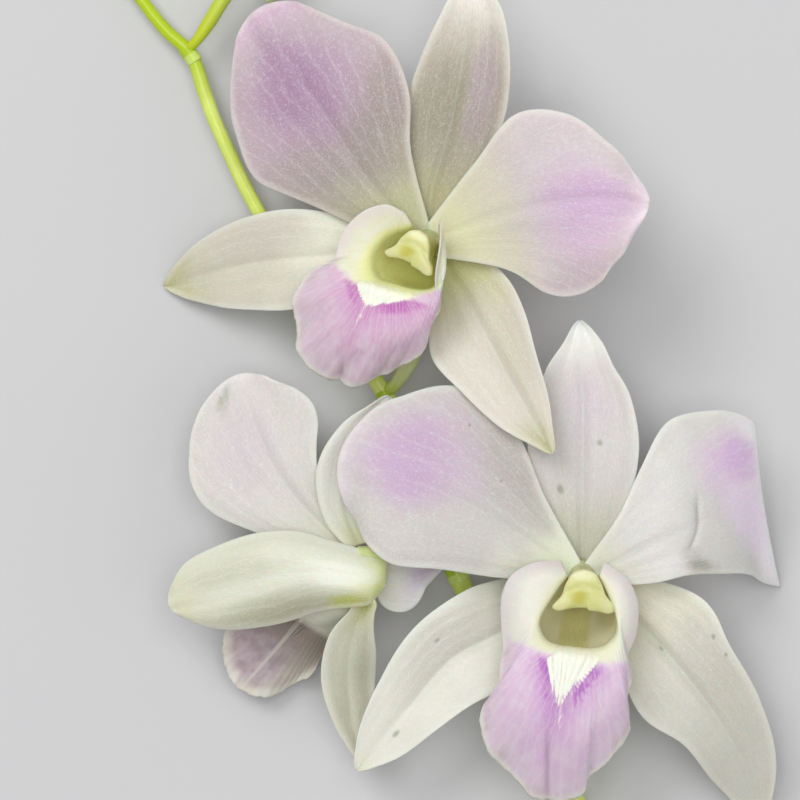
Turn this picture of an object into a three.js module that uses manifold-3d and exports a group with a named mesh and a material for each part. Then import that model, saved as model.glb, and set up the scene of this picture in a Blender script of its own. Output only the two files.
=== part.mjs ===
// A cut spray of dendrobium orchid, lying on its side: a green flower stem with three open blooms and four
// buds. Millimetres, +Z up. The surface it lies on is z = 0, the origin is the middle of its footprint, and +Y
// runs up the stem towards the buds. Each bloom has a dorsal sepal, two petals, two lateral sepals, a lip, a
// column with the chin behind it, and a pedicel that joins the rachis.
import * as THREE from "three";
import { mergeVertices } from "three/addons/utils/BufferGeometryUtils.js";
import Module from "manifold-3d";

const wasm = await Module();
wasm.setup();

// ---------------------------------------------------------------- driving sizes

const BLADE_EDGE = 0.7; // thickness of a petal or sepal at its margin
const BLADE_ROOT = 0.6; // what it gains along the midrib at its root
const BLADE_ROWS = 9; // steps from root to tip
const BLADE_COLUMNS = 6; // steps across
const LIP_THICKNESS = 0.7;
const LIP_AROUND = 42; // steps round the throat, from one side lobe's top to the other's
const LIP_OUT = 5; // steps from the deep end of the tube to the margin
const STEM_SIDES = 8;
const STEM_STEPS = 32;
const PEDICEL_SIDES = 8;
const PEDICEL_STEPS = 8;
const CHIN_SIDES = 10;
const CHIN_STEPS = 4;
const BUD_SIDES = 10;
const BUD_STEPS = 8;
const BUD_STALK_SIDES = 6;
const BUD_CHIN_SIDES = 8;
const SHORT_STEPS = 3; // steps along a bract, a bud's stalk or a bud's chin
const TABLE_REACH = 400; // wider than the spray, for the flat spots that it lies on

// ---------------------------------------------------------------- smooth tables

// Every column of a table of rows at s, from 0 to 1, on a smooth curve through the rows.
function along(rows, s) {
  const last = rows.length - 1;
  const place = Math.min(Math.max(s, 0) * last, last - 1e-9);
  const i = Math.floor(place);
  const f = place - i;
  const a = rows[i];
  const b = rows[i + 1];
  const before = i > 0 ? rows[i - 1] : a.map((v, k) => 2 * v - b[k]);
  const after = i + 2 <= last ? rows[i + 2] : b.map((v, k) => 2 * v - a[k]);
  return a.map((v, k) => {
    const slope = b[k] - before[k];
    const bend = 2 * before[k] - 5 * v + 4 * b[k] - after[k];
    const twist = 3 * v - before[k] - 3 * b[k] + after[k];
    return v + 0.5 * f * (slope + f * (bend + f * twist));
  });
}

// ---------------------------------------------------------------- closed shells

function geometryOf(points, faces) {
  const geometry = new THREE.BufferGeometry();
  const numbers = points.flatMap((p) => [p.x, p.y, p.z]);
  geometry.setAttribute("position", new THREE.Float32BufferAttribute(numbers, 3));
  geometry.setIndex(faces.flat());
  return geometry;
}

// A closed sheet of the given thickness: surface(s, t) is its middle, for s and t from 0 to 1. Both faces are
// split into the same triangles.
function sheet(surface, rows, columns, thickness) {
  const step = 1e-3;
  const points = [];
  for (const side of [1, -1]) {
    for (let i = 0; i <= rows; i++) {
      for (let j = 0; j <= columns; j++) {
        const s = i / rows;
        const t = j / columns;
        const forward = surface(Math.min(s + step, 1), t).sub(surface(Math.max(s - step, 0), t));
        const across = surface(s, Math.min(t + step, 1)).sub(surface(s, Math.max(t - step, 0)));
        const normal = across.cross(forward).normalize();
        points.push(surface(s, t).addScaledVector(normal, (side * thickness(s, t)) / 2));
      }
    }
  }
  const under = (rows + 1) * (columns + 1);
  const at = (i, j) => i * (columns + 1) + j;
  const faces = [];
  for (let i = 0; i < rows; i++) {
    for (let j = 0; j < columns; j++) {
      const [a, b, c, d] = [at(i, j), at(i, j + 1), at(i + 1, j + 1), at(i + 1, j)];
      faces.push([a, b, c], [a, c, d]);
      faces.push([under + a, under + c, under + b], [under + a, under + d, under + c]);
    }
  }
  const border = [];
  for (let j = 0; j < columns; j++) border.push([at(0, j), at(0, j + 1)], [at(rows, j + 1), at(rows, j)]);
  for (let i = 0; i < rows; i++) border.push([at(i, columns), at(i + 1, columns)], [at(i + 1, 0), at(i, 0)]);
  for (const [a, b] of border) faces.push([a, under + a, under + b], [a, under + b, b]);
  return geometryOf(points, faces);
}

// A closed body through rings of points, each ring with as many points, and flat ends.
function loft(rings) {
  const n = rings[0].length;
  const points = rings.flat();
  const faces = [];
  for (let i = 0; i + 1 < rings.length; i++) {
    for (let k = 0; k < n; k++) {
      const [a, b] = [i * n + k, i * n + ((k + 1) % n)];
      faces.push([a, b, b + n], [a, b + n, a + n]);
    }
  }
  const centre = (ring) => ring.reduce((sum, p) => sum.add(p), new THREE.Vector3()).divideScalar(n);
  const [start, end] = [points.length, points.length + 1];
  points.push(centre(rings[0]), centre(rings.at(-1)));
  const top = (rings.length - 1) * n;
  for (let k = 0; k < n; k++) {
    const next = (k + 1) % n;
    faces.push([start, next, k], [end, top + k, top + next]);
  }
  return geometryOf(points, faces);
}

// A round stalk along rows of [x, y, z, radius].
function stalk(rows, steps, sides) {
  const rings = [];
  for (let i = 0; i <= steps; i++) {
    const s = i / steps;
    const [x, y, z, radius] = along(rows, s);
    const ahead = new THREE.Vector3(...along(rows, Math.min(s + 0.01, 1)));
    const behind = new THREE.Vector3(...along(rows, Math.max(s - 0.01, 0)));
    const forward = ahead.sub(behind).normalize();
    const sideways = new THREE.Vector3(0, 0, 1).cross(forward);
    if (sideways.length() < 0.2) sideways.set(1, 0, 0);
    sideways.normalize();
    const upwards = forward.clone().cross(sideways);
    const ring = [];
    for (let k = 0; k < sides; k++) {
      const turn = (2 * Math.PI * (k + 0.5)) / sides;
      ring.push(
        new THREE.Vector3(x, y, z)
          .addScaledVector(sideways, radius * Math.cos(turn))
          .addScaledVector(upwards, radius * Math.sin(turn)),
      );
    }
    rings.push(ring);
  }
  return loft(rings);
}

// ---------------------------------------------------------------- joining and cutting

function solidOf(geometry) {
  const merged = mergeVertices(geometry, 1e-4);
  return new wasm.Manifold(
    new wasm.Mesh({
      numProp: 3,
      vertProperties: merged.attributes.position.array,
      triVerts: new Uint32Array(merged.index.array),
    }),
  );
}

function geometryFrom(solid) {
  const mesh = solid.getMesh();
  const geometry = new THREE.BufferGeometry();
  geometry.setAttribute("position", new THREE.BufferAttribute(mesh.vertProperties, 3));
  geometry.setIndex(new THREE.BufferAttribute(mesh.triVerts, 1));
  return geometry;
}

const joined = (...geometries) => geometryFrom(geometries.map(solidOf).reduce((a, b) => a.add(b)));

// What is left above the surface that the spray lies on: a belly that reaches it gets a small flat spot.
function aboveTable(geometry) {
  const below = new THREE.BoxGeometry(TABLE_REACH, TABLE_REACH, TABLE_REACH);
  below.deleteAttribute("normal");
  below.deleteAttribute("uv");
  below.translate(0, 0, -TABLE_REACH / 2);
  return geometryFrom(solidOf(geometry).subtract(solidOf(below)));
}

// ---------------------------------------------------------------- petals and sepals

// A blade's rows run from root to tip: the midrib's [x, y, z], the half-width on its left and right as seen
// from above and looking to the tip, and how far the left and right margins stand above the midrib. round draws
// the margins back from the end of the midrib, so that the tip is an arc.
function blade({ rows, round = 0 }) {
  const surface = (s, j) => {
    const t = 2 * j - 1;
    const [x, y, z, left, right, riseLeft, riseRight] = along(rows, s);
    const ahead = along(rows, Math.min(s + 0.02, 1));
    const behind = along(rows, Math.max(s - 0.02, 0));
    const length = Math.hypot(ahead[0] - behind[0], ahead[1] - behind[1]);
    const [fx, fy] = [(ahead[0] - behind[0]) / length, (ahead[1] - behind[1]) / length];
    const reach = t * (t < 0 ? left : right);
    const drawn = round * s ** 3 * t * t;
    return new THREE.Vector3(
      x + fy * reach - fx * drawn,
      y - fx * reach - fy * drawn,
      z + ((riseRight - riseLeft) / 2) * t + ((riseRight + riseLeft) / 2) * t * t,
    );
  };
  const thickness = (s, j) => BLADE_EDGE + BLADE_ROOT * (1 - (2 * j - 1) ** 2) * (1 - s);
  return sheet(surface, BLADE_ROWS, BLADE_COLUMNS, thickness);
}

const blades = {
  lower_bloom: {
    dorsal_sepal: {
      rows: [
        [30.4, -25.8, 17.8, 2.8, 2.8, 0.3, 0.3],
        [30.4, -20, 18.8, 6.2, 6.2, 0.5, 0.5],
        [30.5, -13.3, 19.4, 8.6, 8.6, 0.5, 0.5],
        [30.5, -6.7, 19.8, 9.3, 9.3, 0.3, 0.3],
        [30.5, 0, 19.8, 8.1, 8, 0, 0.2],
        [30.2, 5.2, 19.6, 6, 5.5, 0, 0.2],
        [30.1, 9.4, 19.2, 3, 3.7, 0, 0],
        [30, 13.3, 18.6, 0.7, 0.8, 0, 0],
      ],
    },
    petal_left: {
      round: 2.4,
      rows: [
        [27.7, -28.3, 21, 2.2, 2.2, 0, 0.4],
        [20, -22.5, 23.2, 8.3, 7.5, 0.2, -0.4],
        [11.7, -17.5, 25, 11.8, 14.8, 0.4, -2],
        [3.3, -13.7, 26, 14.2, 17.2, 0.2, -3.2],
        [-4.2, -11.3, 26, 12, 12.6, -0.4, -2],
        [-10.3, -10.2, 24.8, 6.9, 7, -0.4, -0.8],
      ],
    },
    petal_right: {
      round: -0.8,
      rows: [
        [33, -28.4, 21, 2.2, 2.2, 0.4, 0],
        [39, -24.2, 22.6, 5.8, 7.4, 0.4, 0],
        [44.6, -20.6, 23.2, 10.8, 9.6, -0.2, -0.4],
        [50.2, -18, 21.4, 16, 11.6, 0.6, -3.4],
        [55.8, -17.2, 16.6, 15.6, 13.2, 3.4, -6.6],
        [60.8, -16.2, 10, 12.5, 15.3, 4.5, -10.1],
      ],
    },
    lateral_sepal_left: {
      rows: [
        [26.6, -31.8, 14.6, 3.2, 4.2, 0, 0.4],
        [17.8, -38.3, 17.2, 7.8, 8.8, 0.6, 0.6],
        [8.7, -43.3, 18.2, 8.3, 8.3, 1.2, 0.8],
        [2, -50.8, 17.8, 6, 6.8, 1, 0.4],
        [-3.3, -57, 16.6, 4.2, 4.3, 0.4, 0.2],
        [-7.3, -62, 14.8, 0.7, 0.7, 0, 0],
      ],
    },
    lateral_sepal_right: {
      rows: [
        [34.2, -31.8, 14.6, 4.2, 3.2, 0.4, 0],
        [42.5, -40, 17.4, 10.4, 8, 0.6, 0.6],
        [48.3, -46.7, 18, 8.8, 10, 0.6, 1],
        [53.6, -53.9, 15.6, 7.7, 7.2, 0.2, 0.6],
        [58.4, -62.4, 9.4, 5.4, 5.8, 0, 0.2],
        [61.6, -73, 0.9, 0.7, 0.7, 0, 0],
      ],
    },
  },
  upper_bloom: {
    dorsal_sepal: {
      rows: [
        [5, 29.2, 20.4, 2.6, 2.6, 0, 0.4],
        [5.4, 34.6, 21, 5.2, 5.2, -0.6, 1],
        [7.5, 41.7, 22, 7.4, 7.6, -1, 1.6],
        [9.3, 49.6, 22.8, 8, 8.5, -1.2, 1.8],
        [10.6, 56.7, 23.2, 6.9, 7.8, -1, 1.6],
        [11.5, 62.5, 23.4, 5.3, 6.2, -0.8, 1.4],
        [11.8, 66.7, 23.2, 3.6, 4.2, -0.4, 0.8],
        [12, 70.6, 22.8, 0.8, 0.8, 0, 0],
      ],
    },
    petal_left: {
      round: 2.4,
      rows: [
        [2.4, 27.8, 21.8, 2, 2, -0.4, 0.6],
        [-5.2, 36.7, 22.8, 8.8, 8.8, -2.8, 1.8],
        [-10.8, 45, 22.2, 15.4, 14.2, -4.4, 3],
        [-15.8, 52.5, 20.8, 14.2, 15, -4, 2.6],
        [-19.7, 58.8, 19.2, 11, 10.6, -2.4, 1.2],
        [-23.8, 65.4, 17.4, 5.8, 6.2, -0.8, 0.4],
      ],
    },
    petal_right: {
      round: 1.2,
      rows: [
        [7.2, 27.6, 22.8, 2.2, 2.4, 0.6, 0],
        [15, 30.3, 26.2, 9.2, 8.6, 1.2, -0.6],
        [21.7, 32, 29, 15.2, 14.8, 1.4, -1.4],
        [28.3, 33, 31, 14.4, 15.7, 0.8, -2],
        [34.2, 33.2, 32, 9.4, 13.4, 0, -1.6],
        [38.4, 32.8, 32, 4.9, 9.2, -0.4, -1],
        [41.1, 32.4, 31.4, 2.2, 3.9, -0.2, -0.4],
      ],
    },
    lateral_sepal_left: {
      rows: [
        [2.5, 25.1, 18.8, 3.2, 2.8, 0, 0],
        [-10.8, 24.2, 16.6, 7, 7, -0.2, 0.6],
        [-18.3, 23.7, 14, 8.5, 8.3, -0.2, 0.8],
        [-25, 23, 10.8, 8, 7.7, 0, 0.8],
        [-31.3, 21.7, 7, 6.3, 6.1, 0, 0.6],
        [-36.4, 20.3, 3.4, 3.5, 3.7, 0.2, 0.4],
        [-40.2, 19.4, 0.9, 0.6, 0.7, 0, 0],
      ],
    },
    lateral_sepal_right: {
      rows: [
        [7.6, 22.6, 18, 3.6, 2.8, 0.6, 0],
        [10.8, 17.6, 20.4, 7.2, 6.4, 1.6, -0.8],
        [13.9, 11.7, 23, 7.4, 9.8, 1.8, -1.2],
        [17.5, 5, 25.4, 5.7, 8.1, 1.2, -0.6],
        [21.1, -1.3, 26.8, 3.9, 5.8, 0.6, -0.2],
        [23.7, -5.8, 27.2, 1.8, 2.9, 0.2, 0],
        [25.2, -8.9, 27.2, 0.6, 0.6, 0, 0],
      ],
    },
  },
  side_bloom: {
    dorsal_sepal: {
      rows: [
        [-6.8, -24.2, 19.2, 2, 2.2, 0, -0.6],
        [-8.6, -18.6, 19.2, 4.4, 4.6, -0.4, -1],
        [-8.2, -12.5, 18.8, 5.8, 6, -0.8, -1.4],
        [-6.1, -6.7, 18.2, 4.7, 5.6, -0.6, -1],
        [-3.6, -2.4, 17.6, 2.4, 3, -0.2, -0.4],
        [-1.7, 0.6, 17, 0.7, 0.7, 0, 0],
      ],
    },
    petal_left: {
      round: 1.4,
      rows: [
        [-8.7, -25.3, 17.6, 2, 2, 0, 0],
        [-13.6, -20.6, 16.8, 5, 3.4, 0, 0.2],
        [-17.7, -16, 16.2, 9.4, 5.2, -0.4, 0.4],
        [-21.7, -10.2, 15.6, 13.6, 8.9, -1, 0.4],
        [-24.2, -4.4, 14.8, 12.2, 10.4, -1, 0],
        [-25.9, 0.4, 14, 9, 8.3, -0.6, 0],
        [-27, 4.4, 13.2, 4.4, 4, -0.2, 0],
      ],
    },
    petal_right: {
      round: 2,
      rows: [
        [-4.1, -27.6, 17, 2, 2.4, 0, 0],
        [-0.8, -28.2, 16.2, 3.6, 7.4, 0.4, -0.8],
        [2.2, -27, 15.2, 6, 4.8, 0.6, -0.6],
        [5.4, -24.6, 14, 7.4, 4, 0.6, -0.4],
        [8.4, -21.8, 12.8, 6, 3.4, 0.4, -0.2],
        [10.6, -18.8, 11.6, 2.8, 2.4, 0, 0],
      ],
    },
    lateral_sepal_near: {
      round: 1,
      rows: [
        [-7.2, -29.7, 24.2, 4.8, 5, -1.4, -1.6],
        [-12.4, -29, 24.6, 6.1, 5.8, -2.8, -2.2],
        [-17.4, -28.9, 24.2, 7.4, 7.2, -3.6, -2.4],
        [-23.3, -30, 23.4, 7.8, 7.8, -3.4, -2.2],
        [-30, -31.7, 21.8, 7, 7.1, -2.4, -1.6],
        [-35, -33.2, 20, 5, 5.8, -1.2, -1],
        [-38.6, -34.4, 18.4, 1.9, 2.6, -0.2, -0.2],
      ],
    },
    lateral_sepal_far: {
      rows: [
        [-6.4, -35.8, 19.8, 2.2, 2.2, -0.4, 0.4],
        [-8.1, -40.6, 17, 4.2, 4, -1.6, 1.2],
        [-8.8, -46.7, 13.6, 4.7, 4.4, -2.4, 1.6],
        [-8, -53.3, 11.6, 3.6, 3.4, -1.6, 1],
        [-7, -58, 10.4, 2.2, 1.9, -0.6, 0.4],
        [-5.9, -61.6, 9.6, 0.6, 0.6, 0, 0],
      ],
    },
  },
};

// ---------------------------------------------------------------- lips

// A lip is a tube that flares into two side lobes and a broad mid-lobe. Each outline runs from the top of the
// left side lobe, down and round the throat, to the top of the right one: deep is the tube's far end, rim is the
// mouth of the throat, and edge is the free margin, with a fourth number for how far the lobe arches forward on
// its way there.
function lip({ deep, rim, edge }) {
  const surface = (v, u) => {
    const inner = along(deep, u);
    const mouth = along(rim, u);
    const [x, y, z, arch] = along(edge, u);
    const middle = [(mouth[0] + x) / 2, (mouth[1] + y) / 2, (mouth[2] + z) / 2 + arch];
    return new THREE.Vector3(...along([inner, mouth, middle, [x, y, z]], v));
  };
  return sheet(surface, LIP_OUT, LIP_AROUND, () => LIP_THICKNESS);
}

const lips = {
  lower_bloom: {
    deep: [
      [27.2, -31.4, 18.6],
      [27, -35.6, 16.8],
      [30.3, -38.2, 16],
      [33.6, -35.6, 16.8],
      [33.5, -31.4, 18.6],
    ],
    rim: [
      [27, -29, 26],
      [24.4, -32.6, 27.6],
      [22.6, -37, 28.8],
      [24, -40.6, 29.4],
      [28.4, -41.8, 29.8],
      [33, -41.7, 29.8],
      [35.9, -39, 29.2],
      [36, -34.2, 28],
      [33.8, -29, 26],
    ],
    edge: [
      [26.8, -26.8, 24.8, 0.2],
      [22.6, -26.8, 25.6, 1],
      [18.6, -28.8, 26, 1.2],
      [16.8, -32.4, 26, 1.2],
      [16.7, -37, 26, 1.2],
      [17, -42, 26.6, 1.2],
      [16.2, -47, 27, 1.6],
      [13.6, -50.6, 26, 2],
      [13.4, -54.4, 24.8, 2.6],
      [15.2, -58.8, 23.4, 3],
      [18.2, -62.6, 22.2, 3.6],
      [21.8, -65.8, 21.4, 4],
      [26, -66.7, 21.2, 4],
      [30.4, -65.8, 21.4, 4],
      [32, -62.6, 22.4, 3.6],
      [35, -58.8, 23.8, 3],
      [38.3, -54.8, 25, 2.4],
      [37.8, -50.6, 26.2, 1.8],
      [38, -46.4, 26.8, 1.4],
      [37.4, -43, 27, 1.2],
      [39, -39, 26.8, 1],
      [39.4, -33.8, 26.4, 1],
      [37.6, -29.6, 26, 0.8],
      [33.8, -26.8, 24.8, 0.2],
    ],
  },
  upper_bloom: {
    deep: [
      [1.4, 27, 22.6],
      [0.6, 23.2, 21],
      [3, 19.8, 20.4],
      [6.2, 20.2, 21.4],
      [7.8, 24, 23],
    ],
    rim: [
      [1.4, 29.6, 26.6],
      [-2.6, 27.4, 26.4],
      [-5.4, 23.6, 26.6],
      [-5, 19.8, 27.6],
      [-1.4, 18.2, 29],
      [2.4, 17.2, 30.2],
      [5.6, 17.8, 31],
      [7.2, 21, 31.2],
      [7.4, 25.6, 30.4],
      [7, 29.2, 28.6],
    ],
    edge: [
      [0.8, 31, 27.4, 0.2],
      [-2.4, 32.3, 28, 0.2],
      [-6.4, 31, 27.4, 0.2],
      [-9.6, 27.6, 26.4, 0.2],
      [-11, 23.4, 25.4, 0.4],
      [-14.4, 22, 24, 1],
      [-17, 18.4, 22.8, 1.6],
      [-17.8, 13.6, 22, 2.2],
      [-17, 8.6, 21.4, 2.8],
      [-14.6, 4.9, 21, 3.2],
      [-10.6, 2.6, 21, 3.6],
      [-6.4, 2.9, 21.4, 3.6],
      [-2.2, 4, 22.4, 3.4],
      [1.4, 6.5, 24.2, 3],
      [4.6, 9.8, 26.2, 2.4],
      [5.8, 13.6, 28.4, 1.6],
      [6, 16.8, 30.4, 0.8],
      [5.8, 20, 32.6, 0.2],
      [6.6, 25.4, 33.4, 0],
      [6.8, 29.8, 31.2, 0],
    ],
  },
  side_bloom: {
    deep: [
      [-10.4, -29.6, 18.6],
      [-12, -31.2, 19],
      [-11, -34.6, 19.2],
      [-8, -35, 18.2],
      [-6.4, -32.6, 17.2],
    ],
    rim: [
      [-14.6, -26.9, 11.4],
      [-17.4, -28.6, 12.2],
      [-18.6, -31.6, 12.8],
      [-18.2, -35, 13],
      [-15.6, -37.6, 12.6],
      [-12.2, -38, 11],
      [-9.4, -36.4, 9.4],
      [-8, -34, 8.4],
      [-7.6, -31.4, 7.8],
    ],
    edge: [
      [-15.6, -25.2, 9.6, 0],
      [-19.6, -26.6, 9.6, -0.2],
      [-23, -29.6, 10, -0.4],
      [-25.4, -33, 10.6, -0.6],
      [-28.4, -36, 11, -0.6],
      [-29.8, -39.8, 10, -0.8],
      [-29.8, -43.6, 8.6, -1],
      [-28.6, -47.4, 6.6, -1.2],
      [-25.6, -49.8, 5, -1.4],
      [-21.4, -50, 4.2, -1.4],
      [-17.8, -48.4, 4, -1.2],
      [-14.6, -45.9, 4.6, -1],
      [-12.8, -41.8, 6.4, -0.8],
      [-9.6, -39.6, 7, -0.6],
      [-6, -37.6, 6.4, -0.4],
      [-4.2, -34.2, 6, -0.2],
      [-5.2, -30.8, 6.2, 0],
    ],
  },
};

// ---------------------------------------------------------------- columns, with the chin behind them

// Half of the section of a column's hood, from its ridge to the middle of its flat underside.
const HOOD = [
  [0, 1],
  [0.45, 0.84],
  [0.74, 0.4],
  [0.92, -0.1],
  [1.3, -0.56],
  [1.05, -0.74],
  [0.5, -0.62],
  [0, -0.6],
];
const HOOD_RING = [...HOOD, ...HOOD.slice(1, -1).reverse().map(([u, v]) => [-u, v])];

// Rings of [x, y, z, half-width, half-height, hood], square to the line from the first ring to the last and
// turned by roll about it. A ring with hood 0 is an oval and one with hood 1 has the hood's section.
function columnBody({ rings, roll }) {
  const first = new THREE.Vector3(...rings[0]);
  const forward = new THREE.Vector3(...rings.at(-1)).sub(first).normalize();
  const across = new THREE.Vector3(0, 1, 0).cross(forward).normalize();
  const upwards = forward.clone().cross(across);
  return loft(
    rings.map(([x, y, z, wide, high, hood]) =>
      HOOD_RING.map(([u, v]) => {
        const length = Math.hypot(u, v);
        const a = wide * (hood * u + ((1 - hood) * u) / length);
        const b = high * (hood * v + ((1 - hood) * v) / length);
        return new THREE.Vector3(x, y, z)
          .addScaledVector(across, -a * Math.cos(roll) - b * Math.sin(roll))
          .addScaledVector(upwards, -a * Math.sin(roll) + b * Math.cos(roll));
      }),
    ),
  );
}

const columns = {
  lower_bloom: {
    body: {
      roll: 0,
      rings: [
        [30.35, -28.8, 15, 2, 2, 0],
        [30.35, -28.9, 18, 2.5, 2.5, 0],
        [30.35, -29.6, 22, 2.2, 2, 0.2],
        [30.35, -31.2, 25.4, 2.8, 2.8, 0.7],
        [30.35, -32.2, 27.6, 3.7, 3.7, 1],
        [30.35, -32.3, 28.4, 3, 3, 1],
      ],
    },
    chin: [
      [30.35, -28.2, 15.2, 2.2],
      [30.35, -31.5, 13.8, 2.4],
      [30.35, -34.6, 12.2, 1.9],
      [30.35, -36.8, 10.8, 0.9],
    ],
  },
  upper_bloom: {
    body: {
      roll: -0.4,
      rings: [
        [5.6, 26.4, 17.8, 2, 2, 0],
        [5.2, 26.2, 20.4, 2.5, 2.5, 0],
        [4.2, 25.8, 24, 2.2, 2, 0.2],
        [3, 25.2, 27, 2.7, 2.7, 0.7],
        [2.2, 24.7, 29.4, 3.4, 3.5, 1],
        [1.9, 24.6, 30.2, 2.7, 2.8, 1],
      ],
    },
    chin: [
      [5.4, 26.8, 17.8, 2.2],
      [6.2, 24, 15.4, 2.2],
      [7, 21.4, 13.8, 1.8],
      [7.6, 19.4, 12.6, 0.9],
    ],
  },
  side_bloom: {
    body: {
      roll: 0.5,
      rings: [
        [-5.4, -27, 21.2, 1.8, 1.8, 0],
        [-6.3, -27.4, 19.4, 2.3, 2.3, 0],
        [-8, -28, 16.2, 2, 1.8, 0.2],
        [-9.6, -28.8, 13.4, 2.2, 2.3, 0.7],
        [-10.7, -29.2, 11.8, 2.7, 2.8, 1],
        [-11.1, -29.3, 11.1, 2.2, 2.3, 1],
      ],
    },
    chin: [
      [-5.6, -27.4, 20.4, 2.2],
      [-5.2, -29.4, 20.8, 2.9],
      [-4.4, -30.8, 21.2, 2.7],
      [-3.5, -31.9, 21.6, 1.5],
    ],
  },
};

// ---------------------------------------------------------------- stems

// The rachis, from its cut end to the bud at its tip: [x, y, z, radius].
const RACHIS = [
  [44.5, -106.6, 1.9, 2],
  [41.6, -97, 1.84, 2],
  [36.4, -82, 2.6, 1.95],
  [28.6, -66.4, 3.6, 1.9],
  [18.6, -47.5, 4.6, 1.75],
  [9.7, -29.6, 5.6, 1.65],
  [3.6, -13.6, 6.4, 1.5],
  [-2.1, 0.2, 6.8, 1.4],
  [-13, 15.4, 6.8, 1.35],
  [-23.8, 31.6, 6.4, 1.3],
  [-30.6, 45.6, 5.8, 1.3],
  [-33, 51.8, 5.5, 1.28],
  [-35.4, 58.4, 5.2, 1.25],
  [-39.8, 62.8, 4.8, 1.18],
  [-43.7, 67.7, 4.4, 1.1],
  [-50.4, 77, 3.8, 0.95],
  [-53.6, 87, 3.6, 0.8],
];

const pedicels = {
  lower_bloom: [
    [30.1, -63.2, 5.1, 1.1],
    [30.8, -55, 6, 1.1],
    [31, -46, 6.4, 1.2],
    [30.8, -37, 7, 1.5],
    [30.4, -30.6, 9, 1.8],
    [30.4, -27.8, 10.6, 1.9],
  ],
  side_bloom: [
    [10.4, -27.2, 7.7, 1],
    [11.8, -26.4, 12.4, 1],
    [10.2, -25.6, 17, 1.1],
    [5, -25, 20, 1.3],
    [-3, -25.6, 21.2, 1.5],
  ],
  upper_bloom: [
    [-1, 2.4, 8.1, 1],
    [0.6, 5.2, 9.2, 1.2],
    [2.4, 8.8, 9.6, 1.4],
    [3.4, 14, 9.6, 1.5],
    [3.8, 20, 9.8, 1.7],
    [4.8, 25, 10.8, 1.9],
    [5.4, 27.8, 12.9, 2],
  ],
};

// A bract hugs the stem under each node: [x, y, z] of the node and the way the stem runs there.
const NODES = [
  [28.6, -66.4, 3.6, -0.47, 0.88],
  [9.7, -29.6, 5.6, -0.4, 0.92],
  [-2.1, 0.2, 6.8, -0.5, 0.86],
  [-35.4, 58.4, 5.2, -0.55, 0.83],
  [-50.4, 77, 3.8, -0.4, 0.92],
];
const BRACT_LENGTH = 3.2;

function bract([x, y, z, dx, dy], radius) {
  const at = (k, r) => [x + dx * k, y + dy * k, z + 0.1 * k, r];
  const rows = [at(-0.8, radius - 0.1), at(0.2, radius + 0.3), at(BRACT_LENGTH, radius - 0.1)];
  return stalk(rows, SHORT_STEPS, STEM_SIDES);
}

function rachis() {
  const stem = stalk(RACHIS, STEM_STEPS, STEM_SIDES);
  const radii = NODES.map(([x, y]) => RACHIS.find((row) => Math.hypot(row[0] - x, row[1] - y) < 0.5)[3]);
  return aboveTable(joined(stem, ...NODES.map((node, i) => bract(node, radii[i]))));
}

// ---------------------------------------------------------------- buds

// A bud is a stalk that swells into a closed, egg-shaped flower with a blunt chin at its root.
const buds = {
  bud_large: {
    stalk: [
      [-34.4, 60.8, 6.4, 0.95],
      [-32.3, 63.8, 6.9, 1.25],
      [-29.2, 68.6, 7.6, 1.32],
      [-24.2, 74, 8.2, 1.4],
    ],
    body: [
      [-24.6, 72.8, 8.4, 1.6],
      [-23.2, 75.2, 8.6, 3.8],
      [-21, 79, 8.4, 4.9],
      [-18.8, 83, 7.8, 4.6],
      [-16.8, 87, 7, 3],
      [-15.6, 90, 6.4, 0.8],
    ],
    chin: [
      [-21.6, 76.4, 7.6, 2.8],
      [-21.6, 71, 6.6, 2.5],
      [-22, 67, 6, 1.1],
    ],
  },
  bud_middle: {
    stalk: [
      [-53.2, 79.2, 4, 0.8],
      [-54.4, 80.6, 4.2, 0.85],
      [-57.4, 82.8, 4, 1],
    ],
    body: [
      [-57, 82.4, 4, 1.2],
      [-58.6, 84, 3.8, 3],
      [-60.6, 87, 3.6, 3.8],
      [-62, 91, 3.5, 3.2],
      [-63, 95.4, 3.6, 0.7],
    ],
    chin: [
      [-59, 86.4, 3.7, 2.4],
      [-59.8, 81.6, 3.4, 1.9],
      [-60, 79.2, 3.2, 0.9],
    ],
  },
  bud_tip: {
    stalk: [
      [-53.8, 87.4, 3.6, 0.75],
      [-54.4, 90, 3.5, 0.8],
      [-54.8, 92.6, 3.4, 0.9],
    ],
    body: [
      [-54.7, 92, 3.4, 1],
      [-55, 94.2, 3.3, 2.4],
      [-55.2, 98, 3.2, 2.9],
      [-55, 102, 3.2, 2.2],
      [-54.6, 106.4, 3.2, 0.6],
    ],
    chin: [
      [-54.8, 96.4, 3.2, 2],
      [-52.8, 93.2, 3.2, 1.4],
      [-52, 91.4, 3.2, 0.6],
    ],
  },
  bud_small: {
    stalk: [
      [-50.9, 83.4, 4.2, 0.55],
      [-49.6, 85.2, 4.2, 0.6],
      [-48.4, 87.6, 4.2, 0.7],
    ],
    body: [
      [-48.5, 87.2, 4.2, 0.8],
      [-48, 89.2, 4, 1.9],
      [-47.2, 92.2, 3.8, 2.2],
      [-46.4, 95, 3.7, 1.6],
      [-45.8, 97.6, 3.6, 0.5],
    ],
    chin: [
      [-47.6, 91, 3.8, 1.5],
      [-46.8, 88.6, 3.6, 1],
      [-46.6, 87.2, 3.5, 0.5],
    ],
  },
};

function bud({ stalk: stem, body, chin }) {
  return aboveTable(
    joined(
      stalk(stem, SHORT_STEPS, BUD_STALK_SIDES),
      stalk(body, BUD_STEPS, BUD_SIDES),
      stalk(chin, SHORT_STEPS, BUD_CHIN_SIDES),
    ),
  );
}

// ---------------------------------------------------------------- the spray

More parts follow.
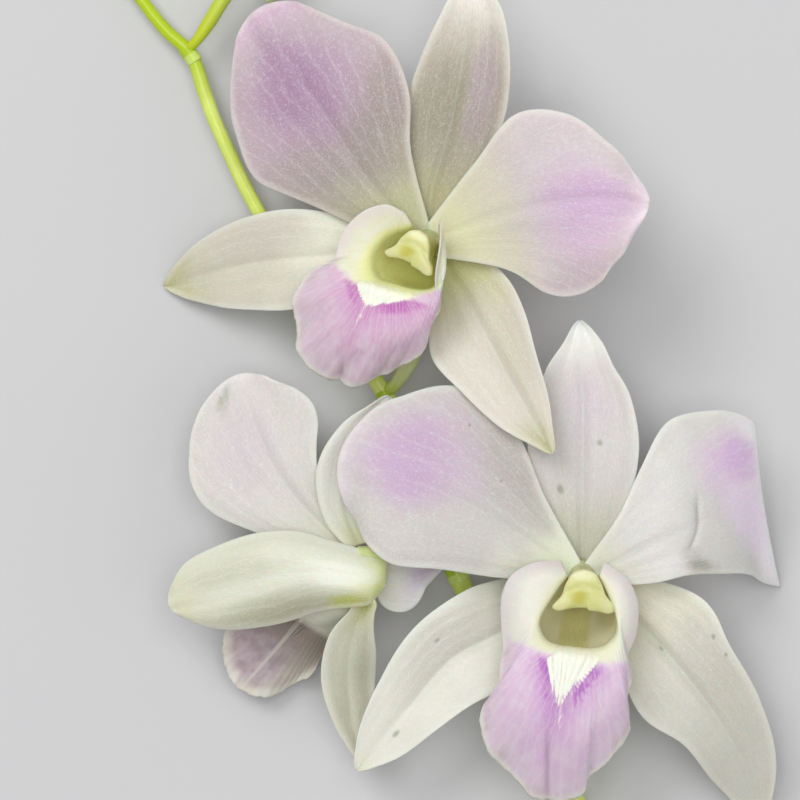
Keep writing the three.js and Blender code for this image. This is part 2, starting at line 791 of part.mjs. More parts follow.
const matte = (color, roughness) => new THREE.MeshStandardMaterial({ color, roughness, metalness: 0 });
const colours = {
  tepal: matte(0xe6e2dc, 0.55),
  petal: matte(0xdccbe0, 0.55),
  lip: matte(0xd9b4dc, 0.5),
  column: matte(0xdfe0a0, 0.45),
  pedicel: matte(0xb9cf5a, 0.45),
  rachis: matte(0x9bbf1e, 0.4),
  bud: matte(0xc3cf8e, 0.5),
};

const spray = new THREE.Group();

function add(name, geometry, material) {
  const mesh = new THREE.Mesh(geometry, material);
  mesh.name = name;
  spray.add(mesh);
}

add("rachis", rachis(), colours.rachis);
for (const [bloom, parts] of Object.entries(blades)) {
  for (const [part, shape] of Object.entries(parts)) {
    add(`${bloom}_${part}`, aboveTable(blade(shape)), part.includes("petal") ? colours.petal : colours.tepal);
  }
}
for (const [bloom, rows] of Object.entries(pedicels)) {
  add(`${bloom}_pedicel`, stalk(rows, PEDICEL_STEPS, PEDICEL_SIDES), colours.pedicel);
}
for (const [bloom, { body, chin }] of Object.entries(columns)) {
  add(`${bloom}_lip`, lip(lips[bloom]), colours.lip);
  add(`${bloom}_column`, joined(columnBody(body), stalk(chin, CHIN_STEPS, CHIN_SIDES)), colours.column);
}
for (const [name, shape] of Object.entries(buds)) add(name, bud(shape), colours.bud);

export default spray;
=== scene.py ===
# A cut spray of dendrobium orchid, laid on a table: one green flower stem, three open blooms and four buds.
# The tables are in millimetres and become metres when a piece is grown. +Y runs up the stem and the table is z = 0.
import math

import bpy
import numpy as np
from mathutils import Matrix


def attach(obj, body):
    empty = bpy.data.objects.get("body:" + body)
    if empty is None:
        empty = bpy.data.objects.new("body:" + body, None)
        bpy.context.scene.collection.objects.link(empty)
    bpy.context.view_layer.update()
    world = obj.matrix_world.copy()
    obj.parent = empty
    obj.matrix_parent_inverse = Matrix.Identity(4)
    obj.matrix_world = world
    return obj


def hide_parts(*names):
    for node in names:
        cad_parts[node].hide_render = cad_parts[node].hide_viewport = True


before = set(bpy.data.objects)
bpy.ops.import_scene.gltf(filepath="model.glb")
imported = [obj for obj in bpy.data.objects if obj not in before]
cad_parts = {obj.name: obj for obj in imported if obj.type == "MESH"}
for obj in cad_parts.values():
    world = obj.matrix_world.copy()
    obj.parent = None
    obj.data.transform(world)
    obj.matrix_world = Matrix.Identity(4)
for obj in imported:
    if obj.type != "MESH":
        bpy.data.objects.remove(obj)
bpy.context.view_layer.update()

# ---------------------------------------------------------------------------------------------- the rachis
# The rachis is the living flower stem that carries all the rest: one juicy green shoot, faintly ribbed, with a waxy
# skin. It swells at each node, where a small papery bract hugs it. It was cut through at its thick end, which shows
# the pale pith.

MM = 0.001
# The table's radii reach the corners of the plain solids, so a round stalk has this share of them.
ROUND_SHARE = 0.95
# Each row is a place on the stem's middle line and its radius there.
RACHIS = [
    [44.5, -106.6, 1.9, 2], [41.6, -97, 1.84, 2], [36.4, -82, 2.6, 1.95], [28.6, -66.4, 3.6, 1.9],
    [18.6, -47.5, 4.6, 1.75], [9.7, -29.6, 5.6, 1.65], [3.6, -13.6, 6.4, 1.5], [-2.1, 0.2, 6.8, 1.4],
    [-13, 15.4, 6.8, 1.35], [-23.8, 31.6, 6.4, 1.3], [-30.6, 45.6, 5.8, 1.3], [-33, 51.8, 5.5, 1.28],
    [-35.4, 58.4, 5.2, 1.25], [-39.8, 62.8, 4.8, 1.18], [-43.7, 67.7, 4.4, 1.1], [-50.4, 77, 3.8, 0.95],
    [-53.6, 87, 3.6, 0.8],
]
# Each node's row in that table, the way the stem runs there, and the turn of the side that its flower grows from.
NODES = [(3, -0.47, 0.88, 0.9), (5, -0.4, 0.92, 1.2), (7, -0.5, 0.86, 1), (12, -0.55, 0.83, 0.7), (15, -0.4, 0.92, 2.4)]


def along(rows, s):
    """The table's values at s, from 0 at its first row to 1 at its last, on a smooth curve through the rows."""
    rows = np.asarray(rows, float)
    table = np.concatenate([[2 * rows[0] - rows[1]], rows, [2 * rows[-1] - rows[-2]]])
    place = np.clip(np.asarray(s, float), 0, 1) * (len(rows) - 1)
    i = np.minimum(place.astype(int), len(rows) - 2)
    f = (place - i).reshape(place.shape + (1,) * (rows.ndim - 1))
    a, b, c, d = table[i], table[i + 1], table[i + 2], table[i + 3]
    return b + f / 2 * (c - a + f * (2 * a - 5 * b + 4 * c - d + f * (3 * b - a - 3 * c + d)))


def unit(v):
    return v / np.maximum(np.linalg.norm(v, axis=-1, keepdims=True), 1e-9)


def hump(x, width):
    """A smooth hump, 1 where x is 0 and nearly gone at twice the width."""
    return np.exp(-((x / width) ** 2))


def bundle(*parts):
    """Several values for each point, side by side."""
    return np.stack(np.broadcast_arrays(*parts), -1)


def lengths(line):
    """How far each point of a line lies from its first, along the line."""
    return np.concatenate([[0], np.cumsum(np.linalg.norm(np.diff(line[:, :3], axis=0), axis=1))])


def round_stalk(rows, steps, sides, shape=lambda s, turn: 1.0):
    """Rings of points round a stalk, with the turn and the length that each point lies at, in millimetres."""
    s = np.linspace(0, 1, steps + 1)
    line = along(rows, s)
    forward = unit((along(rows, s + 0.01) - along(rows, s - 0.01))[:, :3])
    sideways = [unit(np.cross([0.0, 0.0, 1.0], forward[0]))]
    for way in forward[1:]:
        sideways.append(unit(sideways[-1] - way * np.dot(sideways[-1], way)))
    sideways = np.array(sideways)
    upwards = np.cross(forward, sideways)
    turn = 2 * np.pi * (np.arange(sides) + 0.5) / sides
    radius = ROUND_SHARE * line[:, 3, None] * shape(s[:, None], turn[None, :]) * np.ones((1, sides))
    rings = line[:, None, :3] + sideways[:, None] * (radius * np.cos(turn))[..., None]
    rings = rings + upwards[:, None] * (radius * np.sin(turn))[..., None]
    return rings, bundle(turn * line[:, 3, None], lengths(line)[:, None], 0), bundle(turn, s[:, None], 1)


def rooted(rows):
    """The stalk's rows with one more before them, which seats its root in the middle of the rachis."""
    line = along(RACHIS, np.linspace(0, 1, 600))
    seat = line[np.argmin(np.linalg.norm(line[:, :3] - rows[0][:3], axis=1))]
    return [[*seat[:3], rows[0][3]], *rows]


def tube_faces(rings, sides, start):
    """Faces round a closed tube of rings, with a face over each end."""
    k = np.arange(sides)
    over = (k + 1) % sides
    base = start + sides * np.arange(rings - 1)[:, None]
    quads = np.stack([base + k, base + over, base + over + sides, base + k + sides], -1).reshape(-1, 4)
    last = start + sides * (rings - 1)
    return quads.tolist() + [(start + k[::-1]).tolist(), (last + k).tolist()]


def join(shells):
    """One set of points, faces and values from several tubes of rings, each a tuple (rings, values...)."""
    points, faces, values = [], [], [[] for _ in shells[0][1:]]
    for rings, *rest in shells:
        faces += tube_faces(rings.shape[0], rings.shape[1], sum(len(p) for p in points))
        points.append(rings.reshape(-1, 3))
        for kept, value in zip(values, rest):
            kept.append(value.reshape(-1, 3))
    return np.concatenate(points), faces, [np.concatenate(v) for v in values]


def grow(name, slot, finish, points, faces, **grain):
    """Grows the piece that stands for the solid of the same name. The grain's values stay on its points."""
    mesh = bpy.data.meshes.new(name)
    points = np.array(points, float)
    points[:, 2] = np.maximum(points[:, 2], 0.0)
    mesh.from_pydata((points * MM).tolist(), [], faces)
    for key, values in grain.items():
        layer = mesh.attributes.new(key, "FLOAT_VECTOR", "POINT")
        layer.data.foreach_set("vector", np.asarray(values, np.float32).ravel())
    mesh.polygons.foreach_set("use_smooth", [True] * len(mesh.polygons))
    mesh.materials.append(finish)
    mesh.update()
    piece = bpy.data.objects.new("fine_" + name, mesh)
    bpy.context.scene.collection.objects.link(piece)
    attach(piece, "root")
    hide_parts(name)


def grow_green(name, slot, finish, *shells):
    """Grows a stem, a stalk or a bud from its tubes of rings."""
    points, faces, (fan, where) = join(shells)
    grow(name, slot, finish, points, faces, fan=fan, place=where)


def tint(colour):
    """A colour read off a painter's chart, from 0 to 255, as linear light. One that a node makes stays as it is."""
    if isinstance(colour, bpy.types.NodeSocket):
        return colour
    parts = [v / 255 for v in colour]
    return (*[v / 12.92 if v <= 0.04045 else ((v + 0.055) / 1.055) ** 2.4 for v in parts], 1.0)


def put(tree, kind, sockets=(), **settings):
    """Adds a node to tree. Each of its sockets gets a plain value or is wired to another node's socket."""
    node = tree.nodes.new(kind)
    for key, value in settings.items():
        setattr(node, key, value)
    for key, value in dict(sockets).items():
        if isinstance(value, bpy.types.NodeSocket):
            tree.links.new(value, node.inputs[key])
        else:
            node.inputs[key].default_value = value
    return node


def reckon(tree, way, *values):
    return put(tree, "ShaderNodeMath", enumerate(values), operation=way).outputs[0]


def blend(tree, share, under, over):
    return put(tree, "ShaderNodeMix", {0: share, 6: tint(under), 7: tint(over)}, data_type="RGBA").outputs[2]


def step(tree, value, low, high, bottom=0.0, top=1.0):
    sockets = {0: value, 1: low, 2: high, 3: bottom, 4: top}
    return put(tree, "ShaderNodeMapRange", sockets, interpolation_type="SMOOTHSTEP").outputs[0]


def veil(tree, strength, *limits):
    """A mask of up to this strength. Each three limits are a value, where it starts to show and where it is full."""
    mask = step(tree, *limits[:3], 0.0, strength)
    for k in range(3, len(limits), 3):
        mask = reckon(tree, "MULTIPLY", mask, step(tree, *limits[k : k + 3]))
    return mask


def paint(tree, colour, *coats):
    """Lays coats over a colour. Each is a colour and its mask, or a colour and the strength and limits of a veil."""
    for over, *mask in coats:
        colour = blend(tree, mask[0] if len(mask) == 1 else veil(tree, *mask), colour, over)
    return colour


def effect(name, inputs, outputs):
    """Starts a shader group with named number sockets, and hands back its tree, its inputs and its output node."""
    tree = bpy.data.node_groups.new(name, "ShaderNodeTree")
    for label, value in inputs.items():
        tree.interface.new_socket(label, in_out="INPUT", socket_type="NodeSocketFloat").default_value = value
    for label in outputs:
        tree.interface.new_socket(label, in_out="OUTPUT", socket_type="NodeSocketFloat")
    return tree, tree.nodes.new("NodeGroupInput").outputs, tree.nodes.new("NodeGroupOutput")


def use(tree, group, *values):
    """Places a group in a material, with these values for its inputs in their order, and hands back what it makes."""
    return put(tree, "ShaderNodeGroup", enumerate(values), node_tree=group).outputs


# Skin cells: the tiny domed cells of a living surface, with soft patches and, here and there, a glint: a highlight
# painted on a cell.
skin_cells, given, made = effect("Skin Cells", {"Cell Size": 0.2, "Patch Size": 4.0}, ["Height", "Glint", "Patch"])
place = put(skin_cells, "ShaderNodeTexCoord").outputs["Object"]
cell_scale = reckon(skin_cells, "DIVIDE", 1 / MM, given["Cell Size"])
patch_scale = reckon(skin_cells, "DIVIDE", 1 / MM, given["Patch Size"])
cells = put(skin_cells, "ShaderNodeTexVoronoi", {"Vector": place, "Scale": cell_scale})
sparks = put(skin_cells, "ShaderNodeTexNoise", {"Vector": place, "Scale": cell_scale, "Detail": 1.0})
patches = put(skin_cells, "ShaderNodeTexNoise", {"Vector": place, "Scale": patch_scale, "Detail": 3.0})
skin_cells.links.new(reckon(skin_cells, "SUBTRACT", 1.0, cells.outputs["Distance"]), made.inputs["Height"])
# The glints are painted highlights, a sparkle of light laid into the colour.
skin_cells.links.new(step(skin_cells, sparks.outputs[0], 0.58, 0.72), made.inputs["Glint"])
skin_cells.links.new(step(skin_cells, patches.outputs[0], 0.3, 0.7), made.inputs["Patch"])

# Long streaks: soft marks drawn out along the way that the tissue grows.
long_streaks, given, made = effect(
    "Long Streaks", {"Fan": 0.0, "Reach": 0.0, "Width": 0.5, "Length": 4.0, "Seed": 0.0}, ["Value"]
)
across = reckon(long_streaks, "DIVIDE", given["Fan"], given["Width"])
down = reckon(long_streaks, "DIVIDE", given["Reach"], given["Length"])
spot = put(long_streaks, "ShaderNodeCombineXYZ", {0: across, 1: down, 2: given["Seed"]}).outputs[0]
drawn_out = put(long_streaks, "ShaderNodeTexNoise", {"Vector": spot, "Scale": 1.0, "Detail": 2.0})
long_streaks.links.new(step(long_streaks, drawn_out.outputs[0], 0.25, 0.75), made.inputs["Value"])


def grains(tree, *names):
    """The three numbers that a piece's points carry under each name."""
    nodes = [put(tree, "ShaderNodeAttribute", attribute_name=name) for name in names]
    return [put(tree, "ShaderNodeSeparateXYZ", {0: node.outputs["Vector"]}).outputs for node in nodes]


def new_finish(name):
    """A new material, with its tree and its shader."""
    finish = bpy.data.materials.new(name)
    finish.use_nodes = True
    return finish, finish.node_tree, finish.node_tree.nodes["Principled BSDF"]


def dress(tree, shader, colour, rough, height, depth, glow, glow_depth, coat=0.0):
    """Gives the shader its colour, roughness, bump and inner glow, the depths of both in millimetres, and its coat."""
    bump = put(tree, "ShaderNodeBump", {"Height": height, "Distance": depth * MM, "Strength": 1.0})
    for key, socket in {"Normal": bump.outputs[0], "Base Color": colour, "Roughness": rough}.items():
        tree.links.new(socket, shader.inputs[key])
    for key, value in {"Subsurface Weight": glow, "Subsurface Scale": glow_depth * MM, "Coat Weight": coat}.items():
        shader.inputs[key].default_value = value


def green_finish(name, skin, shade, light, end, fades, full, ribs):
    """A waxy green skin: highlights painted on its ribs, paler streaks, shade in patches, painted glints, another
    colour from fades to full, and a pale pith.
    """
    finish, tree, shader = new_finish(name)
    fan, where = grains(tree, "fan", "place")
    height, glint, patch = use(tree, skin_cells, 0.22, 6.0)
    streaks = use(tree, long_streaks, fan[0], fan[1], 0.5, 8.0)[0]
    colour = paint(
        tree,
        skin,
        # The pale colour on the ribs and on the glints is a painted highlight; on the streaks and the cut end it is the
        # tissue's own paleness.
        (light, 0.35, reckon(tree, "SINE", reckon(tree, "MULTIPLY", where[0], ribs)), -1.0, 1.0),
        (light, 0.4, streaks, 0.3, 1.0),
        (shade, 0.4, patch, 0.1, 1.0),
        (end, 0.95, where[1], fades, full),
        (light, 1.0, where[1], 0.01, 0.0),
        (light, 0.12, glint, 0.0, 1.0),
    )
    height = reckon(tree, "MULTIPLY_ADD", streaks, 1.2, height)
    dress(tree, shader, colour, step(tree, patch, 0.0, 1.0, 0.3, 0.44), height, 0.02, 0.2, 1.5, coat=0.1)
    return finish


def bract(row, dx, dy, side):
    """A papery scale that hugs the stem under a flower: a half-round sheath that narrows to a point."""
    x, y, z, radius = RACHIS[row]
    way = unit(np.array([dx, dy, 0.0]))
    sideways = unit(np.cross([0, 0, 1], way))
    upwards = np.cross(way, sideways)
    half_turn, behind, long = 2.2, 1.4, 3.1
    s = np.linspace(0, 1, 19)[:, None]
    turn = np.linspace(-1, 1, 25)[None, :] * half_turn * (1 - 0.8 * s**2) + side
    reach = 1.03 * radius + 0.04 + 0.1 * s**3 + 0.03 * np.sin(9 * turn) * s
    line = np.array([x, y, z]) + way * (long * s[..., None] - behind)
    middle = line + sideways * (reach * np.cos(turn))[..., None] + upwards * (reach * np.sin(turn))[..., None]
    half_thick = unit(middle - line) * 0.07 * (1 - 0.6 * s[..., None])
    rings = np.concatenate([middle + half_thick, (middle - half_thick)[:, ::-1]], 1)
    turns = np.concatenate([turn, turn[:, ::-1]], 1)
    return rings, bundle(turns, 3 * s, 0), bundle(turns, s + 0.2, 0)


def stem_shape(s, turn):
    """Faint ribs and a slightly uneven thickness, with a swelling at each node."""
    swell = 1 + 0.012 * np.cos(7 * turn + 3 * s) + 0.02 * np.sin(37 * s + 1.3) * np.sin(11 * s)
    for row, *_ in NODES:
        swell = swell + 0.1 * hump(s - row / (len(RACHIS) - 1), 0.008)
    return swell


young_green = (184, 210, 0)
stem_skin = green_finish(
    "Stem Skin", (218, 236, 90), (192, 214, 52), (240, 246, 180), young_green, fades=0.66, full=0.76, ribs=7
)
bracts = [bract(*node) for node in NODES]
grow_green("rachis", "stem", stem_skin, round_stalk(RACHIS, 300, 32, stem_shape), *bracts)

# ---------------------------------------------------------------------------------------------- the pedicels
# A pedicel is the flower's own stalk. It leaves the rachis at a node and thickens into the ribbed ovary under the
# bloom. It is the same living tissue as the stem, paler and yellower towards the bloom.

PEDICELS = {
    "lower_bloom_pedicel": [
        [30.1, -63.2, 5.1, 1.1], [30.8, -55, 6, 1.1], [31, -46, 6.4, 1.2], [30.8, -37, 7, 1.5], [30.4, -30.6, 9, 1.8],
        [30.4, -27.8, 10.6, 1.9],
    ],
    "side_bloom_pedicel": [
        [10.4, -27.2, 7.7, 1], [11.8, -26.4, 12.4, 1], [10.2, -25.6, 17, 1.1], [5, -25, 20, 1.3],
        [-3, -25.6, 21.2, 1.5], [-7, -25.6, 22.2, 1.3],
    ],
    "upper_bloom_pedicel": [
        [-1, 2.4, 8.1, 1.1], [0.8, 5.2, 9.2, 1.5], [2.4, 8.8, 9.6, 1.7], [3.4, 14, 9.6, 1.7], [3.8, 20, 9.8, 1.7],
        [4.8, 25, 10.8, 1.9], [5.4, 27.8, 12.9, 2],
    ],
}
pedicel_skin = green_finish(
    "Pedicel Skin", (208, 218, 150), (184, 200, 112), (226, 232, 184), young_green, fades=0.32, full=0.0, ribs=6
)
for name, rows in PEDICELS.items():
    stalk = round_stalk(rooted(rows), 80, 36, lambda s, turn: 1 + 0.05 * s * np.cos(6 * turn + 2 * s))
    grow_green(name, "pedicel", pedicel_skin, stalk)

# ---------------------------------------------------------------------------------------------- the columns
# The column is the waxy post in the middle of a bloom. Its hooded head has a wing at each side, and the pale anther
# cap sits in the hollow at its tip. Its foot runs back into a blunt chin behind the bloom.

HOOD = [[0, 1], [0.45, 0.84], [0.74, 0.4], [0.92, -0.1], [1.3, -0.56], [1.05, -0.74], [0.5, -0.62], [0, -0.6]]
HOOD_RING = HOOD + [[-u, v] for u, v in HOOD[-2:0:-1]] + [HOOD[0]]
# A body's rows are its middle line, its half-width and half-height, and how far it has the hood's outline. A chin's
# rows are its middle line and its radius.
COLUMNS = {
    "lower_bloom_column": {
        "roll": 0,
        "body": [
            [30.35, -28.8, 15, 2, 2, 0], [30.35, -28.9, 18, 2.5, 2.5, 0], [30.35, -29.6, 22, 2.2, 2, 0.2],
            [30.35, -31.1, 25.4, 3, 3, 0.7], [30.35, -31.9, 27.6, 4, 4.05, 1], [30.35, -32, 28.4, 3.3, 3.3, 1],
        ],
        "chin": [
            [30.35, -28.2, 15.2, 2.2], [30.35, -31.5, 13.8, 2.4], [30.35, -34.6, 12.2, 1.9],
            [30.35, -36.8, 10.8, 0.9],
        ],
    },
    "upper_bloom_column": {
        "roll": -0.4,
        "body": [
            [5.6, 26.4, 17.8, 2, 2, 0], [5.2, 26.2, 20.4, 2.5, 2.5, 0], [4.2, 25.8, 24, 2.2, 2, 0.2],
            [3, 25.2, 27, 2.7, 2.7, 0.7], [2.2, 24.7, 29.4, 3.4, 3.5, 1], [1.9, 24.6, 30.2, 2.7, 2.8, 1],
        ],
        "chin": [[5.4, 26.8, 17.8, 2.2], [6.2, 24, 15.4, 2.2], [7, 21.4, 13.8, 1.8], [7.6, 19.4, 12.6, 0.9]],
    },
    "side_bloom_column": {
        "roll": 0.5,
        "body": [
            [-5.4, -27, 21.2, 1.8, 1.8, 0], [-6.3, -27.4, 19.4, 2.3, 2.3, 0], [-8, -28, 16.2, 2, 1.8, 0.2],
            [-9.6, -28.8, 13.4, 2.2, 2.3, 0.7], [-10.7, -29.2, 11.8, 2.7, 2.8, 1], [-11.1, -29.3, 11.1, 2.2, 2.3, 1],
        ],
        "chin": [[-5.6, -27.4, 20.4, 2.2], [-5.2, -29.4, 20.8, 2.6], [-4.6, -30.7, 21, 2.2], [-4, -31.6, 21.2, 1.1]],
    },
}

# Flush and shade oval: an oval mask, strongest in its middle and gone at its rim. It lays a flush of the tissue's own
# colour, and also painted shade and painted highlights.
flush_and_shade_oval, given, made = effect(
    "Flush And Shade Oval",
    {"Across": 0.0, "Along": 0.0, "Middle Across": 0.0, "Middle Along": 0.5, "Half Width": 0.5, "Half Length": 0.3},
    ["Mask"],
)
apart = []
for axis, size in (("Across", "Half Width"), ("Along", "Half Length")):
    gap = reckon(flush_and_shade_oval, "SUBTRACT", given[axis], given["Middle " + axis])
    apart.append(reckon(flush_and_shade_oval, "POWER", reckon(flush_and_shade_oval, "DIVIDE", gap, given[size]), 2.0))
away = reckon(flush_and_shade_oval, "SQRT", reckon(flush_and_shade_oval, "ADD", *apart))
flush_and_shade_oval.links.new(step(flush_and_shade_oval, away, 1.0, 0.2), made.inputs["Mask"])


def column_finish():
    """Waxy pale yellow, with a yellow blotch on the cap that also paints the shade of its hollow, pale corners, and
    painted shade, grey-olive, down in the throat.
    """
    finish, tree, shader = new_finish("Column Wax")
    ((across, up, ahead),) = grains(tree, "place")
    height, _, patch = use(tree, skin_cells, 0.18, 2.0)
    blotch = use(tree, flush_and_shade_oval, across, up, 0.22, -0.12, 0.56, 0.5)[0]
    colour = paint(
        tree,
        # The grey-olive base is painted shade on the lower body, deep in the throat.
        (176, 177, 130),
        ((218, 219, 146), 1.0, ahead, 0.35, 0.85),
        ((230, 228, 176), 0.4, patch, 0.3, 1.0),
        ((236, 239, 200), 0.6, ahead, 0.7, 0.9, up, 0.42, 0.8),
        ((226, 224, 178), 0.6, reckon(tree, "ABSOLUTE", across), 0.5, 1.05),
        # The blotch is the cap's deeper yellow together with painted shade in the hollow of the cap.
        ((198, 190, 66), reckon(tree, "MULTIPLY", blotch, step(tree, ahead, 0.8, 0.9, 0.0, 0.75))),
    )
    dress(tree, shader, colour, step(tree, patch, 0.0, 1.0, 0.34, 0.46), height, 0.012, 0.3, 1.5)
    return finish


def ease(low, high, x):
    """A soft step from 0 where x is low to 1 where it is high."""
    f = np.clip((x - low) / (high - low), 0, 1)
    return f * f * (3 - 2 * f)


def column_head(body, roll):
    """The column from its root to its tip, and the anther cap that closes the tip, as one tube of rings."""
    body = np.array(body, float)
    forward = unit(body[-1, :3] - body[0, :3])
    across = unit(np.cross([0.0, 1.0, 0.0], forward))
    upwards = np.cross(forward, across)
    side_way = -across * math.cos(roll) - upwards * math.sin(roll)
    top_way = -across * math.sin(roll) + upwards * math.cos(roll)
    outline = along(HOOD_RING, np.linspace(0, 1, 97)[:-1])
    outline[:, 1] -= 0.13 * ease(-0.12, -0.2, outline[:, 0]) * ease(-0.42, -0.56, outline[:, 1])
    span = np.linalg.norm(outline, axis=-1, keepdims=True)

    def ring(row, hood, shrink, ahead):
        shape = shrink * (hood * outline + (1 - hood) * outline / span)
        return row[:3] + forward * ahead + side_way * (row[3] * shape[:, :1]) + top_way * (row[4] * shape[:, 1:])

    # The hood stands at this share of the body's length, and what lies ahead of it closes in to the cap's tip.
    hood_at = 0.8
    s = np.linspace(0, hood_at, 40)
    brow = along(body, hood_at)
    hood_rim = [(1.0, 0.2), (0.985, 0.36), (0.96, 0.48), (0.93, 0.56), (0.89, 0.62)]
    cap_rise = [(0.82, 0.72), (0.73, 0.82), (0.62, 0.92), (0.48, 1.01), (0.34, 1.07), (0.18, 1.11), (0.04, 1.12)]
    rings = [ring(row, row[5], 1.0, 0.0) for row in along(body, s)]
    rings = np.array(rings + [ring(brow, 1.0, shrink, ahead) for shrink, ahead in hood_rim + cap_rise])
    shrink = np.array([1.0] * len(s) + [k for k, _ in hood_rim + cap_rise])[:, None]
    depth = np.concatenate([s / hood_at * 0.88, np.full(len(hood_rim), 0.9), np.ones(len(cap_rise))])[:, None]
    u, v = shrink * outline[:, 0], shrink * outline[:, 1]
    brow_line = hump(v - 0.34 + 0.5 * u * u, 0.09)
    notch = hump(u, 0.1) * np.clip(-v - 0.3, 0, 1)
    hollow = hump(u, 0.3) * hump(v + 0.1, 0.25)
    on_cap = ease(0.97, 0.8, shrink)
    rings = rings - forward * ((0.34 * brow_line + 0.5 * notch + 0.2 * hollow) * on_cap)[..., None]
    return rings, bundle(u, v, depth)


def blunt(x, least):
    """A thickness that rounds off from 1, where x is 0, to near its least, where x is 1."""
    return np.sqrt(np.clip(1 - x, least, 1))


def round_end(s, turn):
    return blunt(0.9 * s**12, 0)


column_wax = column_finish()
for name, made_of in COLUMNS.items():
    rings, _, where = round_stalk(made_of["chin"], 24, 40, round_end)
    chin = rings, bundle(0, 1, 0.66 + 0.24 * where[..., 1])
    points, faces, (where,) = join([column_head(made_of["body"], made_of["roll"]), chin])
    grow(name, "column", column_wax, points, faces, place=where)

# ---------------------------------------------------------------------------------------------- the lips
# The lip is the bloom's lowest petal, grown into a tube round the column. Its cream side lobes stand up beside the
# throat, and its broad lilac mid-lobe has a ruffled, finely toothed margin and a white ridged callus at its root.

